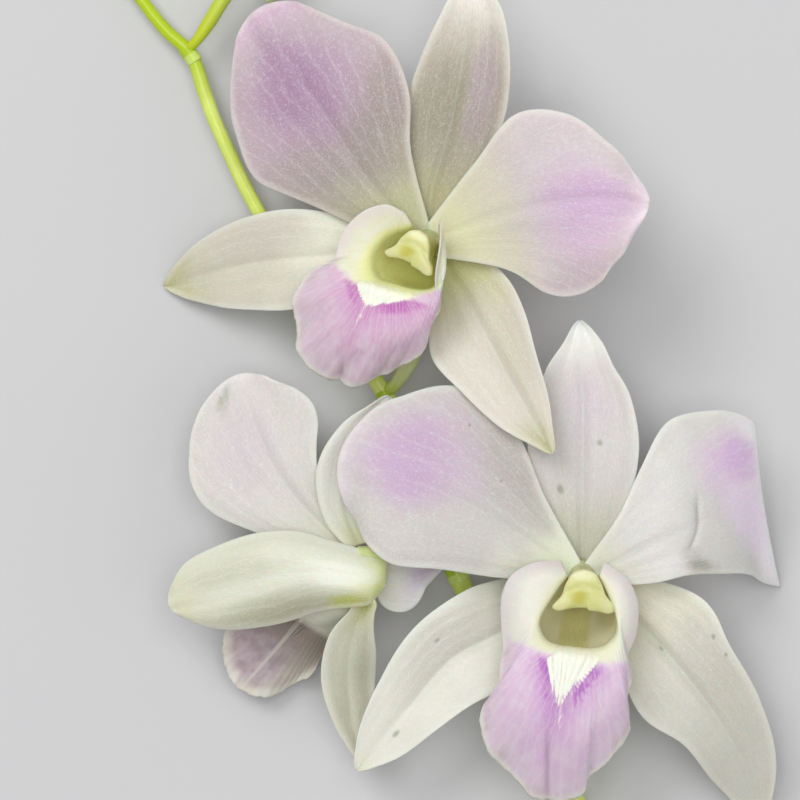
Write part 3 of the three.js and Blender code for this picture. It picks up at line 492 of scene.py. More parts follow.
# deep, rim and edge go round the throat's floor, its mouth and the lip's margin. The edge's last number is how far the
# sheet arches between mouth and margin. lobes are where the mid-lobe starts and ends round it. root and point are the
# mid-lobe's axis, seen from above. callus is its half-width left and right, its length, its lean and its knob; feather
# is how ragged it is, tail how far its point runs on and to which side, cream the cream's end and bend, steep the
# throat's wall, ruffle and waves the margin's waves, and face the side that is seen into the bloom.
LIPS = {
    "lower_bloom_lip": {
        "deep": [[28.5, -30.4, 18.4], [27, -35.6, 16.8], [30.3, -38.2, 16], [33.6, -35.6, 16.8], [32.2, -30.4, 18.4]],
        "rim": [
            [27.6, -28.9, 26], [24.6, -32.6, 27.6], [22.6, -37, 28.8], [24, -40.6, 29.4], [28.4, -41.8, 29.8],
            [33, -41.7, 29.8], [35.9, -39, 29.2], [35.6, -34.2, 28], [33.1, -28.8, 26],
        ],
        "edge": [
            [26.8, -26.8, 24.8, 0.2], [22.6, -26.8, 25.6, 1], [18.6, -28.8, 26, 1.2], [16.8, -32.4, 26, 1.2],
            [16.7, -37, 26, 1.2], [17, -42, 26.6, 1.2], [16.2, -47, 27, 1.6], [13.6, -50.6, 26, 2],
            [13.4, -54.4, 24.8, 2.6], [15.2, -58.8, 23.4, 3], [18.2, -62.6, 22.2, 3.6], [21.8, -65.8, 21.4, 4],
            [26, -66.7, 21.2, 4], [30.4, -65.8, 21.4, 4], [32, -62.6, 22.4, 3.6], [35, -58.8, 23.8, 3],
            [38.3, -54.8, 25, 2.4], [37.8, -50.6, 26.2, 1.8], [38, -46.4, 26.8, 1.4], [37.4, -43, 27, 1.2],
            [39, -39, 26.8, 1], [39.4, -33.8, 26.4, 1], [37.6, -29.6, 26, 0.8], [33.8, -26.8, 24.8, 0.2],
        ],
        "lobes": (0.22, 0.83), "root": (28.5, -42), "point": (24.2, -66), "callus": (3.6, 4.9, 7.7, -1.0, 1.9),
        "feather": 0.11, "tail": (14.0, 0.0), "cream": (0.4, -0.01), "steep": 0.12, "ruffle": 0.5, "waves": 7,
        "face": -1,
    },
    "upper_bloom_lip": {
        "deep": [[3.2, 27, 21.6], [0.6, 23.2, 21], [3, 19.8, 20.4], [6.2, 20.2, 21.4], [7, 24.8, 22.2]],
        "rim": [
            [2, 29, 26.4], [-2.6, 27.4, 26.4], [-5.4, 23.6, 26.6], [-5, 19.8, 27.6], [-1.4, 18.2, 29],
            [2.4, 17.2, 30.2], [5.6, 17.8, 31], [7.2, 21, 31.2], [7.2, 25.6, 30.2], [6.5, 28.8, 28],
        ],
        "edge": [
            [0.8, 31, 27.4, 0.2], [-2.4, 32.3, 28, 0.2], [-6.4, 31, 27.4, 0.2], [-9.6, 27.6, 26.4, 0.2],
            [-11, 23.4, 25.4, 0.4], [-14.4, 22, 24, 1], [-17, 18.4, 22.8, 1.6], [-17.8, 13.6, 22, 2.2],
            [-17, 8.6, 21.4, 2.8], [-14.6, 4.9, 21, 3.2], [-10.6, 2.6, 21, 3.6], [-6.4, 2.9, 21.4, 3.6],
            [-2.2, 4, 22.4, 3.4], [1.4, 6.5, 24.2, 3], [4.6, 9.8, 26.2, 2.4], [5.8, 13.6, 28.4, 1.6],
            [6, 16.8, 30.4, 0.8], [5.8, 20, 32.6, 0.2], [6.6, 25.4, 33.4, 0], [6.8, 29.8, 31.2, 0],
        ],
        "lobes": (0.2, 0.84), "root": (-3.6, 18.6), "point": (-8.8, 3), "callus": (2.9, 7.0, 3.4, -0.9, 0.0),
        "feather": 0.04, "tail": (8.5, -1.6), "cream": (0.8, -0.04), "steep": 0.32, "ruffle": 0.65, "waves": 8,
        "face": -1,
    },
    "side_bloom_lip": {
        "deep": [[-10.4, -29.6, 18.6], [-12, -31.2, 19], [-11, -34.6, 19.2], [-8, -35, 18.2], [-6.4, -32.6, 17.2]],
        "rim": [
            [-14.6, -26.9, 11.4], [-17.4, -28.6, 12.2], [-18.6, -31.6, 12.8], [-18.2, -35, 13], [-15.6, -37.6, 12.6],
            [-12.2, -38, 11], [-9.4, -36.4, 9.4], [-8, -34, 8.4], [-7.6, -31.4, 7.8],
        ],
        "edge": [
            [-15.6, -25.2, 9.6, 0], [-19.6, -26.6, 9.6, -0.2], [-23, -29.6, 10, -0.4], [-25.4, -33, 10.6, -0.6],
            [-28.4, -36, 11, -0.6], [-29.8, -39.8, 10, -0.8], [-29.8, -43.6, 8.6, -1], [-28.6, -47.4, 6.6, -1.2],
            [-25.6, -49.8, 5, -1.4], [-21.4, -50, 4.2, -1.4], [-17.8, -48.4, 4, -1.2], [-14.6, -45.9, 4.6, -1],
            [-12.8, -41.8, 6.4, -0.8], [-9.6, -39.6, 7, -0.6], [-6, -37.6, 6.4, -0.4], [-4.2, -34.2, 6, -0.2],
            [-5.2, -30.8, 6.2, 0],
        ],
        "lobes": (0.18, 0.82), "root": (-17, -37.4), "point": (-26.8, -48.6), "callus": (3.0, 3.0, 4.5, 0.0, 0.0),
        "feather": 0.06, "tail": (7.0, 0.0), "cream": (-1.0, -0.01), "steep": 0.2, "ruffle": 0.45, "waves": 5,
        "face": 1,
    },
}


def two_faced(first, second):
    """Points and faces of a closed sheet between two grids, the first of which is the face that looks outward."""
    rows, columns = first.shape[:2]
    points = np.concatenate([first.reshape(-1, 3), second.reshape(-1, 3)])
    at = np.arange(rows * columns).reshape(rows, columns)
    a, b, c, d = at[:-1, :-1], at[:-1, 1:], at[1:, 1:], at[1:, :-1]
    under = rows * columns
    faces = [np.stack([a, b, c, d], -1).reshape(-1, 4), under + np.stack([a, d, c, b], -1).reshape(-1, 4)]
    rim = np.concatenate([at[0], at[1:, -1], at[-1, -2::-1], at[-2:0:-1, 0]])
    after = np.roll(rim, -1)
    faces.append(np.stack([rim, rim + under, after + under, after], -1))
    return points, np.concatenate(faces).tolist()


def facing(sheet):
    """The way that a grid of points faces at each of them."""
    return unit(np.cross(np.gradient(sheet, axis=1), np.gradient(sheet, axis=0)))


# Veins: thin lines that follow the tissue from root to margin, wandering a little.
vein_lines, given, made = effect(
    "Vein Lines", {"Fan": 0.0, "Reach": 0.0, "Spacing": 1.0, "Wander": 0.5, "Width": 0.3}, ["Line"]
)
slow_across = reckon(vein_lines, "MULTIPLY", given["Fan"], 0.3)
slow_down = reckon(vein_lines, "MULTIPLY", given["Reach"], 0.12)
slow = put(vein_lines, "ShaderNodeCombineXYZ", {0: slow_across, 1: slow_down}).outputs[0]
drift = put(vein_lines, "ShaderNodeTexNoise", {"Vector": slow, "Scale": 1.0, "Detail": 2.0}).outputs[0]
drift = reckon(vein_lines, "MULTIPLY", reckon(vein_lines, "SUBTRACT", drift, 0.5), given["Wander"])
order = reckon(vein_lines, "DIVIDE", reckon(vein_lines, "ADD", given["Fan"], drift), given["Spacing"])
beside = reckon(vein_lines, "MULTIPLY", reckon(vein_lines, "PINGPONG", order, 0.5), 2.0)
vein_lines.links.new(step(vein_lines, beside, given["Width"], 0.0), made.inputs["Line"])


def lip_finish(name, lilac, purple, cream, glow, throat, walls, callus, back, fade=0.03):
    """Lilac tissue that greys to its margin, with purple beside the callus and a cream and olive throat, painted shade
    in the dents, the furrow and the back's root, and painted glints.
    """
    finish, tree, shader = new_finish(name)
    fan, (beside, ahead, inward), (creamy, white, stain_and_shade) = grains(tree, "fan", "disc", "part")
    height, glint, patch = use(tree, skin_cells, 0.18, 2.4)
    fine = use(tree, long_streaks, fan[0], fan[1], 0.4, 1.1)[0]
    broad = use(tree, long_streaks, fan[0], fan[1], 1.8, 5.0, 4.0)[0]
    veins = use(tree, vein_lines, fan[0], fan[1], 1.0, 3.4, 0.45)[0]
    pale, rim, grey = (234, 222, 230), (236, 233, 220), (220, 208, 214)
    from_middle = reckon(tree, "ABSOLUTE", beside)
    off_furrow = reckon(tree, "ADD", beside, reckon(tree, "MULTIPLY_ADD", ahead, -0.2, 4.6))
    patchy = reckon(tree, "MULTIPLY", step(tree, stain_and_shade, 0.05, 0.95), step(tree, patch, 0.0, 0.9, 0.7, 1.0))
    dashes = veil(tree, 0.35, fine, 0.5, 0.85, stain_and_shade, 0.1, 0.5)
    blur = reckon(tree, "MULTIPLY_ADD", reckon(tree, "SUBTRACT", broad, 0.5), 0.3, creamy)
    ragged = reckon(tree, "MULTIPLY_ADD", reckon(tree, "SUBTRACT", fine, 0.5), 0.26, white)
    lobe = paint(tree, cream, (rim, 0.5, patch, 0.2, 1.0), (grey, 0.55, fan[2], 3.6, 0.2))
    knob = paint(tree, callus, (glow, 0.4, ahead, 1.2, -0.4))
    inside = paint(tree, throat, ((172, 164, 84), 0.3, fine, 0.2, 0.9), (walls, 0.9, from_middle, 2.0, 3.2))
    under = paint(
        tree,
        back,
        (pale, 0.3, patch, 0.1, 0.9),
        ((202, 198, 184), 0.75, beside, 0.5, 5.0),
        # Deeper grey-brown near the root of the back: painted shade.
        ((146, 132, 118), 0.85, ahead, 9.0, 0.0),
        (rim, 0.55, from_middle, 0.5, 0.05),
        (rim, 0.8, fan[2], 3.4, 0.3),
        (lobe, 1.0, creamy, 0.2, 0.9),
    )
    colour = paint(
        tree,
        lilac,
        (pale, 0.22, broad, 0.2, 1.0),
        (pale, 0.3, patch, 0.2, 1.0),
        (grey, 0.6, fan[2], 8.0, 0.5),
        # Greyer mottled dents near the margin: painted shade in the hollows of the ruffles.
        ((186, 170, 170), 0.5, broad, 0.35, 0.85, fan[2], 4.5, 0.5),
        (purple, reckon(tree, "MAXIMUM", patchy, dashes)),
        (pale, 0.24, veins, 0.0, 1.0),
        (pale, 0.16, fine, 0.5, 1.0),
        (grey, 0.12, fine, 0.5, 0.0),
        # The purple-grey line along the furrow: painted shade in the groove, tinted purple.
        ((164, 134, 162), 0.5, ahead, 11.0, 17.0, reckon(tree, "ABSOLUTE", off_furrow), 0.9, 0.0),
        (rim, 0.75, fan[2], 1.8, 0.1),
        (lobe, 1.0, blur, 0.05, 0.95),
        (glow, 0.8, inward, 0.66, 0.5, creamy, 0.2, 0.9),
        (knob, 1.0, ragged, 0.15, 0.7),
        (inside, 1.0, inward, 0.5, 0.5 - fade),
        (under, 1.0, stain_and_shade, -0.4, -0.6),
        # Painted glints: white highlights laid on a few cells.
        ((255, 255, 255), 0.14, glint, 0.0, 1.0),
    )
    height = reckon(tree, "MULTIPLY_ADD", veins, 0.8, reckon(tree, "MULTIPLY_ADD", fine, 0.6, height))
    dress(tree, shader, colour, step(tree, glint, 0.0, 1.0, 0.5, 0.34), height, 0.022, 0.3, 1.2)
    return finish


def grow_lip(
    name, finish, deep, rim, edge, lobes, root, point, callus, feather, tail, cream, steep, ruffle, waves, face
):
    """Grows a lip from the floor of its throat, past the throat's far end and its mouth, to the free margin."""
    floor_at, mouth_at, points_round = 0.25, 0.5, 281
    u = np.linspace(0, 1, points_round)
    v = [np.linspace(0, floor_at, 9)[:-1], np.linspace(floor_at, mouth_at, 17)[:-1], np.linspace(mouth_at, 1, 50)]
    v = np.concatenate(v)
    inner, mouth, outer = along(deep, u), along(rim, u), along(edge, u)
    sink = (np.mean(deep, axis=0) - np.mean(rim, axis=0)) * 0.3
    bottom = (inner[0] + inner[-1]) / 2 + sink + 0 * inner
    halfway = (mouth + outer[:, :3]) / 2 + bundle(0, 0, outer[:, 3])
    wall = mouth + (inner - mouth) * [steep, steep, 0.4]
    rings = np.interp(v, [0, floor_at, 0.42, mouth_at, 0.75, 1], np.linspace(0, 1, 6))
    middle = along(np.stack([bottom, inner, wall, mouth, halfway, outer[:, :3]]), rings)

    axis = unit(np.array(point, float) - root)
    offset = middle[..., :2] - root
    ahead = offset @ axis
    beside = offset @ np.array([-axis[1], axis[0]])
    v = v[:, None]
    out = np.clip((v - mouth_at) * 2, 0, 1) + 0 * u
    mid_lobe = ease(lobes[0] - 0.03, lobes[0] + 0.04, u) * ease(lobes[1] + 0.03, lobes[1] - 0.04, u)
    edge_line = cream[0] + cream[1] * beside**2
    creamy = ease(edge_line + 1.7, edge_line - 1.3, ahead)

    # The callus: a fringed tongue of keels, its tail, and the purple round it.
    left, right, long, lean, knob = callus
    sideways = beside - lean
    half = np.where(sideways < 0, left, right)
    finger = sideways / (half * np.clip(1 - 0.75 * ahead / long, 0.2, 1))
    ragged = feather * long * (np.sin(13 * finger + 1) + 0.6 * np.sin(23 * finger + 2))
    foot = long * (1 - np.abs(sideways / half) ** 1.25) + ragged
    beyond = (ahead - foot) * half / np.hypot(half, long)
    start = 0.3 * long * np.clip(-sideways / left, 0, 1) ** 1.5 - knob * ease(0.9, 0.5, np.abs(sideways - 1) / left)
    on_callus = ease(0.45, -0.45, beyond) * ease(start - 0.8, start, ahead) * (v > 0.45)
    raised = ease(1.0, -1.8, beyond) * ease(start - 0.8, start + 0.6, ahead) * ease(0.48, 0.52, v) * mid_lobe
    share = np.clip((ahead - 0.5 * long) / (tail[0] - 0.5 * long), 0, 1.2)
    ray = hump(sideways - (tail[1] - lean) * share, 0.35)
    ray = ray * ease(tail[0] + 0.5, tail[0] - 3, ahead) * ease(0.3 * long, 0.8 * long, ahead)
    white = np.maximum(on_callus * (0.82 + 0.18 * np.cos(22 * finger)), 0.42 * ray) * mid_lobe
    halo = hump(np.maximum(beyond, 0) - 0.8, 1.8) * ease(-0.4, 0.3 * long, ahead)
    halo = halo * ease(1.7 * long, 0.9 * long, ahead) * (0.5 + 0.5 * ease(0.8, 2.6, np.abs(sideways)))
    purple = np.maximum(halo, 0.62 * hump(beyond, 5.0) * ease(0, 2, ahead)) * mid_lobe

    # The ruffled and toothed margin, and the furrow, ribs and keels across the sheet.
    swing = 2 * np.pi * waves * u
    wave = np.sin(swing + 1.1) + 0.45 * np.sin(1.7 * swing + 0.4) + 0.2 * np.sin(2.9 * swing)
    normal, toward = facing(middle), unit(np.gradient(middle, axis=0))
    middle = middle + normal * (ruffle * wave * mid_lobe * ease(0.45, 1.05, out))[..., None]
    teeth = (0.08 * np.sin(11.3 * swing) + 0.1 * np.sin(5.1 * swing + 2)) * mid_lobe * out**10
    middle = middle + toward * teeth[..., None]
    furrow = 0.6 * hump(beside - 0.2 * ahead + 4.6, 0.6) * ease(10, 17, ahead) * mid_lobe
    ribs = 0.035 * np.sin(3.1 * 2 * np.pi * 13 * u) * mid_lobe * ease(0.05, 0.3, out)
    keels = 0.1 * np.cos(22 * finger) * ease(long, 0.5 * long, ahead) + 0.35 * hump(ahead - 0.8, 1.1)
    middle = middle + normal * (face * (raised * (0.4 + keels) - furrow + ribs))[..., None]

    half_thick = (0.3 - 0.12 * out) * blunt(out**20, 0.05) * blunt(np.abs(2 * u - 1) ** 120, 0.05)
    length = np.linalg.norm(outer[:, :3] - mouth, axis=-1)
    fan = bundle(np.arctan2(beside, ahead + 7) * 15, np.hypot(beside, ahead + 7), (1 - out) * length)
    normal = facing(middle)
    sheets, parts = [], []
    for side in (1, -1):
        sheets.append(middle + normal * (side * half_thick)[..., None])
        part = bundle(creamy, white, purple) if side == face else bundle(creamy, 0, -1)
        parts.append(part.reshape(-1, 3))
    points, faces = two_faced(*sheets)
    fan, disc = (np.concatenate([values.reshape(-1, 3)] * 2) for values in (fan, bundle(beside, ahead, v)))
    grow(name, "lip", finish, points, faces, fan=fan, disc=disc, part=np.concatenate(parts))


lip_finishes = {
    "lower_bloom_lip": lip_finish(
        "Lower Lip Tissue", lilac=(222, 192, 220), purple=(180, 100, 190), cream=(230, 229, 217),
        glow=(234, 235, 196), throat=(216, 212, 152), walls=(226, 222, 190), callus=(251, 250, 234),
        back=(190, 172, 184),
    ),
    "upper_bloom_lip": lip_finish(
        "Upper Lip Tissue", lilac=(216, 178, 204), purple=(188, 94, 176), cream=(230, 231, 200), glow=(232, 236, 156),
        throat=(208, 210, 128), walls=(204, 204, 120), callus=(253, 253, 234), back=(190, 172, 184), fade=0.14,
    ),
    "side_bloom_lip": lip_finish(
        "Side Lip Tissue", lilac=(212, 186, 206), purple=(192, 118, 196), cream=(224, 225, 204), glow=(226, 228, 176),
        throat=(200, 196, 140), walls=(206, 202, 160), callus=(251, 250, 234), back=(176, 158, 164),
    ),
}
for name, shape in LIPS.items():
    grow_lip(name, lip_finishes[name], **shape)

# ---------------------------------------------------------------------------------------------- the petals
# Each bloom has two broad petals, thin sheets of soft living tissue that grow from beside the column. They are white
# with a lilac flush, pearly with tiny cells, and finely veined from the root out to a gently waved margin.

# Each row is a place on the midrib, the half-widths left and right of it, and how far each margin rises. round is how
# far the end's corners are drawn back.
PETALS = {
    "lower_bloom_petal_left": {
        "round": 2.4,
        "rows": [
            [29, -29, 20.4, 2.2, 2.2, 0, 0.2], [20, -22.5, 23.2, 8.3, 7.5, 0.2, -0.4],
            [11.7, -17.5, 25, 11.8, 14.8, 0.4, -2], [3.3, -13.7, 26, 14.2, 17.2, 0.2, -3.2],
            [-4.2, -11.3, 26, 12, 12.6, -0.4, -2], [-10.3, -10.2, 24.8, 6.9, 7, -0.4, -0.8],
        ],
    },
    "lower_bloom_petal_right": {
        "round": -0.8,
        "rows": [
            [31.7, -29.2, 20.4, 2.2, 2.2, 0.2, 0], [39.2, -25.2, 22.6, 6.6, 5.9, 0.4, 0],
            [45, -22.4, 23.1, 12.2, 7.4, 0, -0.6], [50.6, -20, 21.1, 17.4, 9.8, 1.5, -3.5],
            [56, -18, 16.5, 16.8, 12.4, 4.1, -6.6], [61.2, -17, 10.2, 13.4, 15.2, 4.6, -9.4],
        ],
    },
    "upper_bloom_petal_left": {
        "round": 2.4,
        "rows": [
            [3.6, 26.6, 21, 2.2, 2.2, -0.2, 0.4], [-5.2, 36.7, 22.8, 8.8, 8.8, -2.8, 1.8],
            [-10.8, 45, 22.2, 15.4, 14.2, -4.4, 3], [-15.8, 52.5, 20.8, 14.2, 15, -4, 2.6],
            [-19.7, 58.8, 19.2, 11, 10.6, -2.4, 1.2], [-23.8, 65.4, 17.4, 5.8, 6.2, -0.8, 0.4],
        ],
    },
    "upper_bloom_petal_right": {
        "round": 1.2,
        "rows": [
            [5.2, 26.8, 21.8, 2.4, 3.2, 0.4, 0], [15, 30.3, 26.2, 9.2, 9.2, 1.2, -0.6],
            [21.7, 32, 29, 15.2, 14.8, 1.4, -1.4], [28.3, 33, 31, 14.4, 15.7, 0.8, -2],
            [34.2, 33.2, 32, 9.4, 13.4, 0, -1.6], [38.4, 32.8, 32, 4.9, 9.2, -0.4, -1],
            [41.1, 32.4, 31.4, 2.2, 3.9, -0.2, -0.4],
        ],
    },
    "side_bloom_petal_left": {
        "round": 1.4,
        "rows": [
            [-8.7, -25.3, 17.6, 2, 2, 0, 0], [-13.6, -20.6, 16.8, 5, 3.4, 0, 0.2],
            [-17.7, -16, 16.2, 9.4, 5.2, -0.4, 0.4], [-21.7, -10.2, 15.6, 13.6, 8.9, -1, 0.4],
            [-24.2, -4.4, 14.8, 12.2, 10.4, -1, 0], [-25.9, 0.4, 14, 9, 8.3, -0.6, 0],
            [-27, 4.4, 13.2, 4.4, 4, -0.2, 0],
        ],
    },
    "side_bloom_petal_right": {
        "round": 2,
        "rows": [
            [-4.1, -27.6, 17, 2, 2.4, 0, 0], [-0.8, -28.2, 16.2, 3.6, 7.4, 0.4, -0.8],
            [2.2, -27, 15.2, 6, 4.8, 0.6, -0.6], [5.4, -24.6, 14, 7.4, 4, 0.6, -0.4],
            [8.4, -21.8, 12.8, 6, 3.4, 0.4, -0.2], [10.6, -18.8, 11.6, 2.8, 2.4, 0, 0],
        ],
    },
}
margin_white = (238, 237, 228)


def tepal_finish(name, body, root, tip, flushes_and_shades, root_to=0.35, tip_from=0.85, specks=()):
    """Pearly petal tissue with painted glints. An oval is (colour, strength, middle across and along, half width, half
    length); some are the lilac flush of the tissue, others painted shade or painted highlights.
    """
    finish, tree, shader = new_finish(name)
    fan, where, crease_shade = grains(tree, "fan", "place", "crease_shade")
    height, glint, patch = use(tree, skin_cells, 0.26, 6.0)
    fine = use(tree, long_streaks, fan[0], fan[1], 0.32, 0.9)[0]
    broad = use(tree, long_streaks, fan[0], fan[1], 2.2, 14.0, 7.0)[0]
    veins = use(tree, vein_lines, fan[0], fan[1], 1.9, 3.6, 0.34)[0]
    soft = reckon(tree, "MULTIPLY_ADD", reckon(tree, "SUBTRACT", patch, 0.5), 0.05, where[1])
    side = reckon(tree, "MULTIPLY_ADD", reckon(tree, "SUBTRACT", broad, 0.5), 0.14, where[0])
    shade = blend(tree, 0.16, body, (120, 122, 112))
    pale = blend(tree, 0.6, body, (255, 255, 255))
    coats = [(shade, 0.3, patch, 0.0, 1.0), (root, 1.0, soft, root_to, 0.02), (tip, 1.0, soft, tip_from, 1.0)]
    # Ovals of three kinds come in here: lilac flush of the tissue, painted shade and painted highlights.
    for stain_and_shade, strength, *oval in flushes_and_shades:
        mask = use(tree, flush_and_shade_oval, side, soft, *oval)[0]
        between_veins = step(tree, veins, 0.0, 1.0, strength, 0.86 * strength)
        coats.append((stain_and_shade, reckon(tree, "MULTIPLY", mask, between_veins)))
    coats += [
        (pale, 0.07, veins, 0.0, 1.0),
        (pale, 0.16, fine, 0.5, 1.0),
        (shade, 0.2, fine, 0.5, 0.0),
        # Painted glints: highlights laid on a few cells.
        (pale, 0.28, glint, 0.0, 1.0),
        (margin_white, 0.42, fan[2], 1.7, 0.1),
    ]
    for across, along_it, size in specks:
        dot = use(tree, flush_and_shade_oval, where[0], where[1], across, along_it, size, size * 0.25)[0]
        coats.append(((126, 130, 98), reckon(tree, "MULTIPLY", dot, 0.55)))
    # The last coat paints shade along a crease's fold line.
    colour = paint(tree, body, *coats, ((128, 130, 118), crease_shade[0]))
    height = reckon(tree, "MULTIPLY_ADD", veins, 0.35, reckon(tree, "MULTIPLY_ADD", fine, 0.7, height))
    dress(tree, shader, colour, step(tree, glint, 0.0, 1.0, 0.5, 0.32), height, 0.024, 0.3, 1.2)
    return finish


def grow_blade(
    name, slot, finish, rows, round=0, point=False, heel=False, keel=0.0, frill=0.12, waves=3, cup=0.0, phase=0.0,
    spread=1.0, channel=1.0, creases=()
):
    """Grows a petal or sepal from its table: the midrib, the half-widths, and how far each margin stands up."""
    points_along, points_across = 93, 73
    s = (1 - (1 - np.linspace(0, 1, points_along)) ** 1.2)[:, None]
    turn = np.linspace(-1, 1, points_across)
    t = (0.45 * turn + 0.55 * np.sin(np.pi / 2 * turn))[None, :]
    x, y, z, left, right, rise_left, rise_right = np.moveaxis(along(rows, s), -1, 0)
    run = unit((along(rows, np.minimum(s + 0.02, 1)) - along(rows, np.maximum(s - 0.02, 0)))[..., :2])
    fx, fy = run[..., 0], run[..., 1]
    half_width = np.where(t < 0, left, right)
    if point:
        half_width = half_width * blunt(((s - 0.95) / 0.05).clip(0) ** 2, 0.01)
    if heel:
        half_width = half_width * blunt(((0.07 - s) / 0.07).clip(0) ** 2, 0.01)
    aside = t * half_width
    drawn = round * s**3 * t * t
    lift = ((rise_right - rise_left) * t + (rise_right + rise_left) * t * t) / 2 + cup * np.abs(t) ** 1.6
    no_point = 0 if point else 1
    swing = 2 * np.pi * (waves * s + phase + 0.37 * (t > 0))
    ripple = frill * np.abs(t) ** 4 * ease(0.08, 0.4, s) * (np.sin(swing) + 0.5 * np.sin(2.3 * swing + 1))
    ripple = ripple + frill * s**10 * np.sin(2 * np.pi * (1.4 * t + phase)) * no_point
    swell = 0.3 * np.sin(5.1 * s + 2.3 * t + 7 * phase) * np.sin(3.7 * t - 2 * s + 11 * phase) * ease(0, 0.3, s)
    midrib = -channel * (0.26 + 0.3 * cup) * hump(aside, 0.9) * ease(1.0, 0.5, s)

    length = lengths(along(rows, np.linspace(0, 1, 200)))
    out = np.interp(s, np.linspace(0, 1, 200), length)
    fan = spread * np.arctan2(aside, out + 5) * 24 + (1 - spread) * t * np.max(half_width)
    nerves = 0.022 * np.cos(2.4 * fan + np.sin(0.9 * fan + 3 * s)) * ease(0, 0.2, s) * ease(1.0, 0.8, s)
    margin = np.minimum((1 - np.abs(t)) * half_width, (length[-1] - out) + 4 * (1 - no_point) * (1 - np.abs(t)))
    crease_shade = folds = 0 * t * s
    # Each crease dips the sheet and paints shade along its fold.
    for at, from_t, to_t, depth, width, shade_strength, bend in creases:
        line = at + bend * (t - (from_t + to_t) / 2) + 0.004 * np.sin(11 * t)
        within = ease(from_t - 0.12, from_t + 0.08, t) * ease(to_t + 0.12, to_t - 0.08, t)
        folds = folds - depth * hump(s - line, width) * within
        crease_shade = np.maximum(crease_shade, shade_strength * hump(s - line, 0.5 * width) * within)
    height = z + lift + ripple + swell + midrib + nerves + folds
    middle = np.stack([x + fy * aside - fx * drawn, y - fx * aside - fy * drawn, height], -1)
    normal = facing(middle)
    thick = (0.36 + 0.5 * (1 - t * t) * (1 - 0.6 * s)) / 2 * blunt(np.abs(t) ** 18, 0.06) * blunt(s**60, 0.1)
    ridge = keel * hump(aside, 0.9) * ease(1.0, 0.3, s)
    under = middle - normal * (thick + ridge)[..., None]
    points, faces = two_faced(middle + normal * thick[..., None], under)
    grain = {"fan": (fan, np.hypot(out, aside), margin), "place": (t, s, 1), "crease_shade": (crease_shade, 0, 0)}
    grain = {key: np.concatenate([bundle(*parts).reshape(-1, 3)] * 2) for key, parts in grain.items()}
    grow(name, slot, finish, points, faces, **grain)


petal_finishes = {
    # Its first, grey oval is painted shade on the right half; the other two are the lilac flush.
    "lower_bloom_petal_left": tepal_finish(
        "Lower Left Petal", (205, 201, 196), (233, 238, 212), (220, 210, 216),
        [((178, 172, 166), 0.8, 0.65, 0.32, 0.6, 0.28), ((200, 174, 200), 1.0, 0.22, 0.67, 0.85, 0.36),
         ((196, 164, 200), 0.5, 0.12, 0.68, 0.6, 0.18)],
        root_to=0.3, specks=[(0.7, 0.52, 0.03), (0.45, 0.35, 0.03)],
    ),
    # Its first, deep grey oval is a painted shadow below the crease's fold.
    "lower_bloom_petal_right": tepal_finish(
        "Lower Right Petal", (219, 217, 212), (216, 218, 198), (250, 240, 248),
        [((142, 140, 124), 0.7, 0.82, 0.47, 0.45, 0.13), ((222, 198, 224), 0.75, -0.4, 0.77, 0.5, 0.2),
         ((240, 220, 242), 0.9, 0.1, 0.86, 0.75, 0.2), ((218, 182, 224), 0.85, -0.52, 0.88, 0.4, 0.16)],
        root_to=0.25, tip_from=0.8,
    ),
    # Its first two ovals, grey-brown, are painted shade: across the petal near its root, and on its right side next to
    # the top sepal.
    "upper_bloom_petal_left": tepal_finish(
        "Upper Left Petal", (193, 177, 183), (188, 191, 146), (208, 180, 200),
        [((150, 138, 132), 0.62, -0.1, 0.31, 1.4, 0.22), ((140, 128, 114), 0.62, 0.8, 0.36, 0.8, 0.3),
         ((170, 135, 166), 0.9, -0.08, 0.64, 1.0, 0.4), ((166, 130, 163), 0.5, -0.1, 0.6, 0.6, 0.25)],
        root_to=0.42,
    ),
    # Its first, grey-mauve oval is painted shade on the petal's lower side.
    "upper_bloom_petal_right": tepal_finish(
        "Upper Right Petal", (210, 199, 202), (219, 219, 178), (248, 228, 242),
        [((180, 163, 168), 0.6, 0.85, 0.55, 0.5, 0.3), ((209, 178, 207), 0.95, 0.1, 0.62, 0.85, 0.36),
         ((204, 170, 206), 0.5, -0.06, 0.56, 0.5, 0.28)],
        root_to=0.4, tip_from=0.74,
    ),
    # Its second, grey oval is painted shade in a fold near the tip.
    "side_bloom_petal_left": tepal_finish(
        "Side Left Petal", (214, 210, 204), (214, 216, 194), (218, 212, 214),
        [((204, 194, 202), 0.6, -0.2, 0.62, 0.8, 0.34), ((158, 158, 140), 0.7, -0.42, 0.88, 0.26, 0.12)],
    ),
    "side_bloom_petal_right": tepal_finish(
        "Side Right Petal", (222, 220, 220), (214, 214, 196), (218, 208, 222),
        [((202, 184, 212), 0.85, 0.45, 0.48, 0.75, 0.32)],
    ),
}
# The one crease: its place along the petal, its ends, its depth and width, the strength of the shade painted along it,
# and how it bends.
PETAL_CREASES = {
    "lower_bloom_petal_right": [(0.53, -0.2, 0.42, 0.4, 0.024, 0.55, -0.22)],
}
for k, (name, shape) in enumerate(PETALS.items()):
    creases = PETAL_CREASES.get(name, ())
    grow_blade(name, "petal", petal_finishes[name], phase=0.17 * k, creases=creases, **shape)

# ---------------------------------------------------------------------------------------------- the sepals
# A bloom's three sepals stand behind its petals: one at the top and a pair below. They are narrower and thicker than
# petals, keeled along the back, and white with a green tip and a green root.

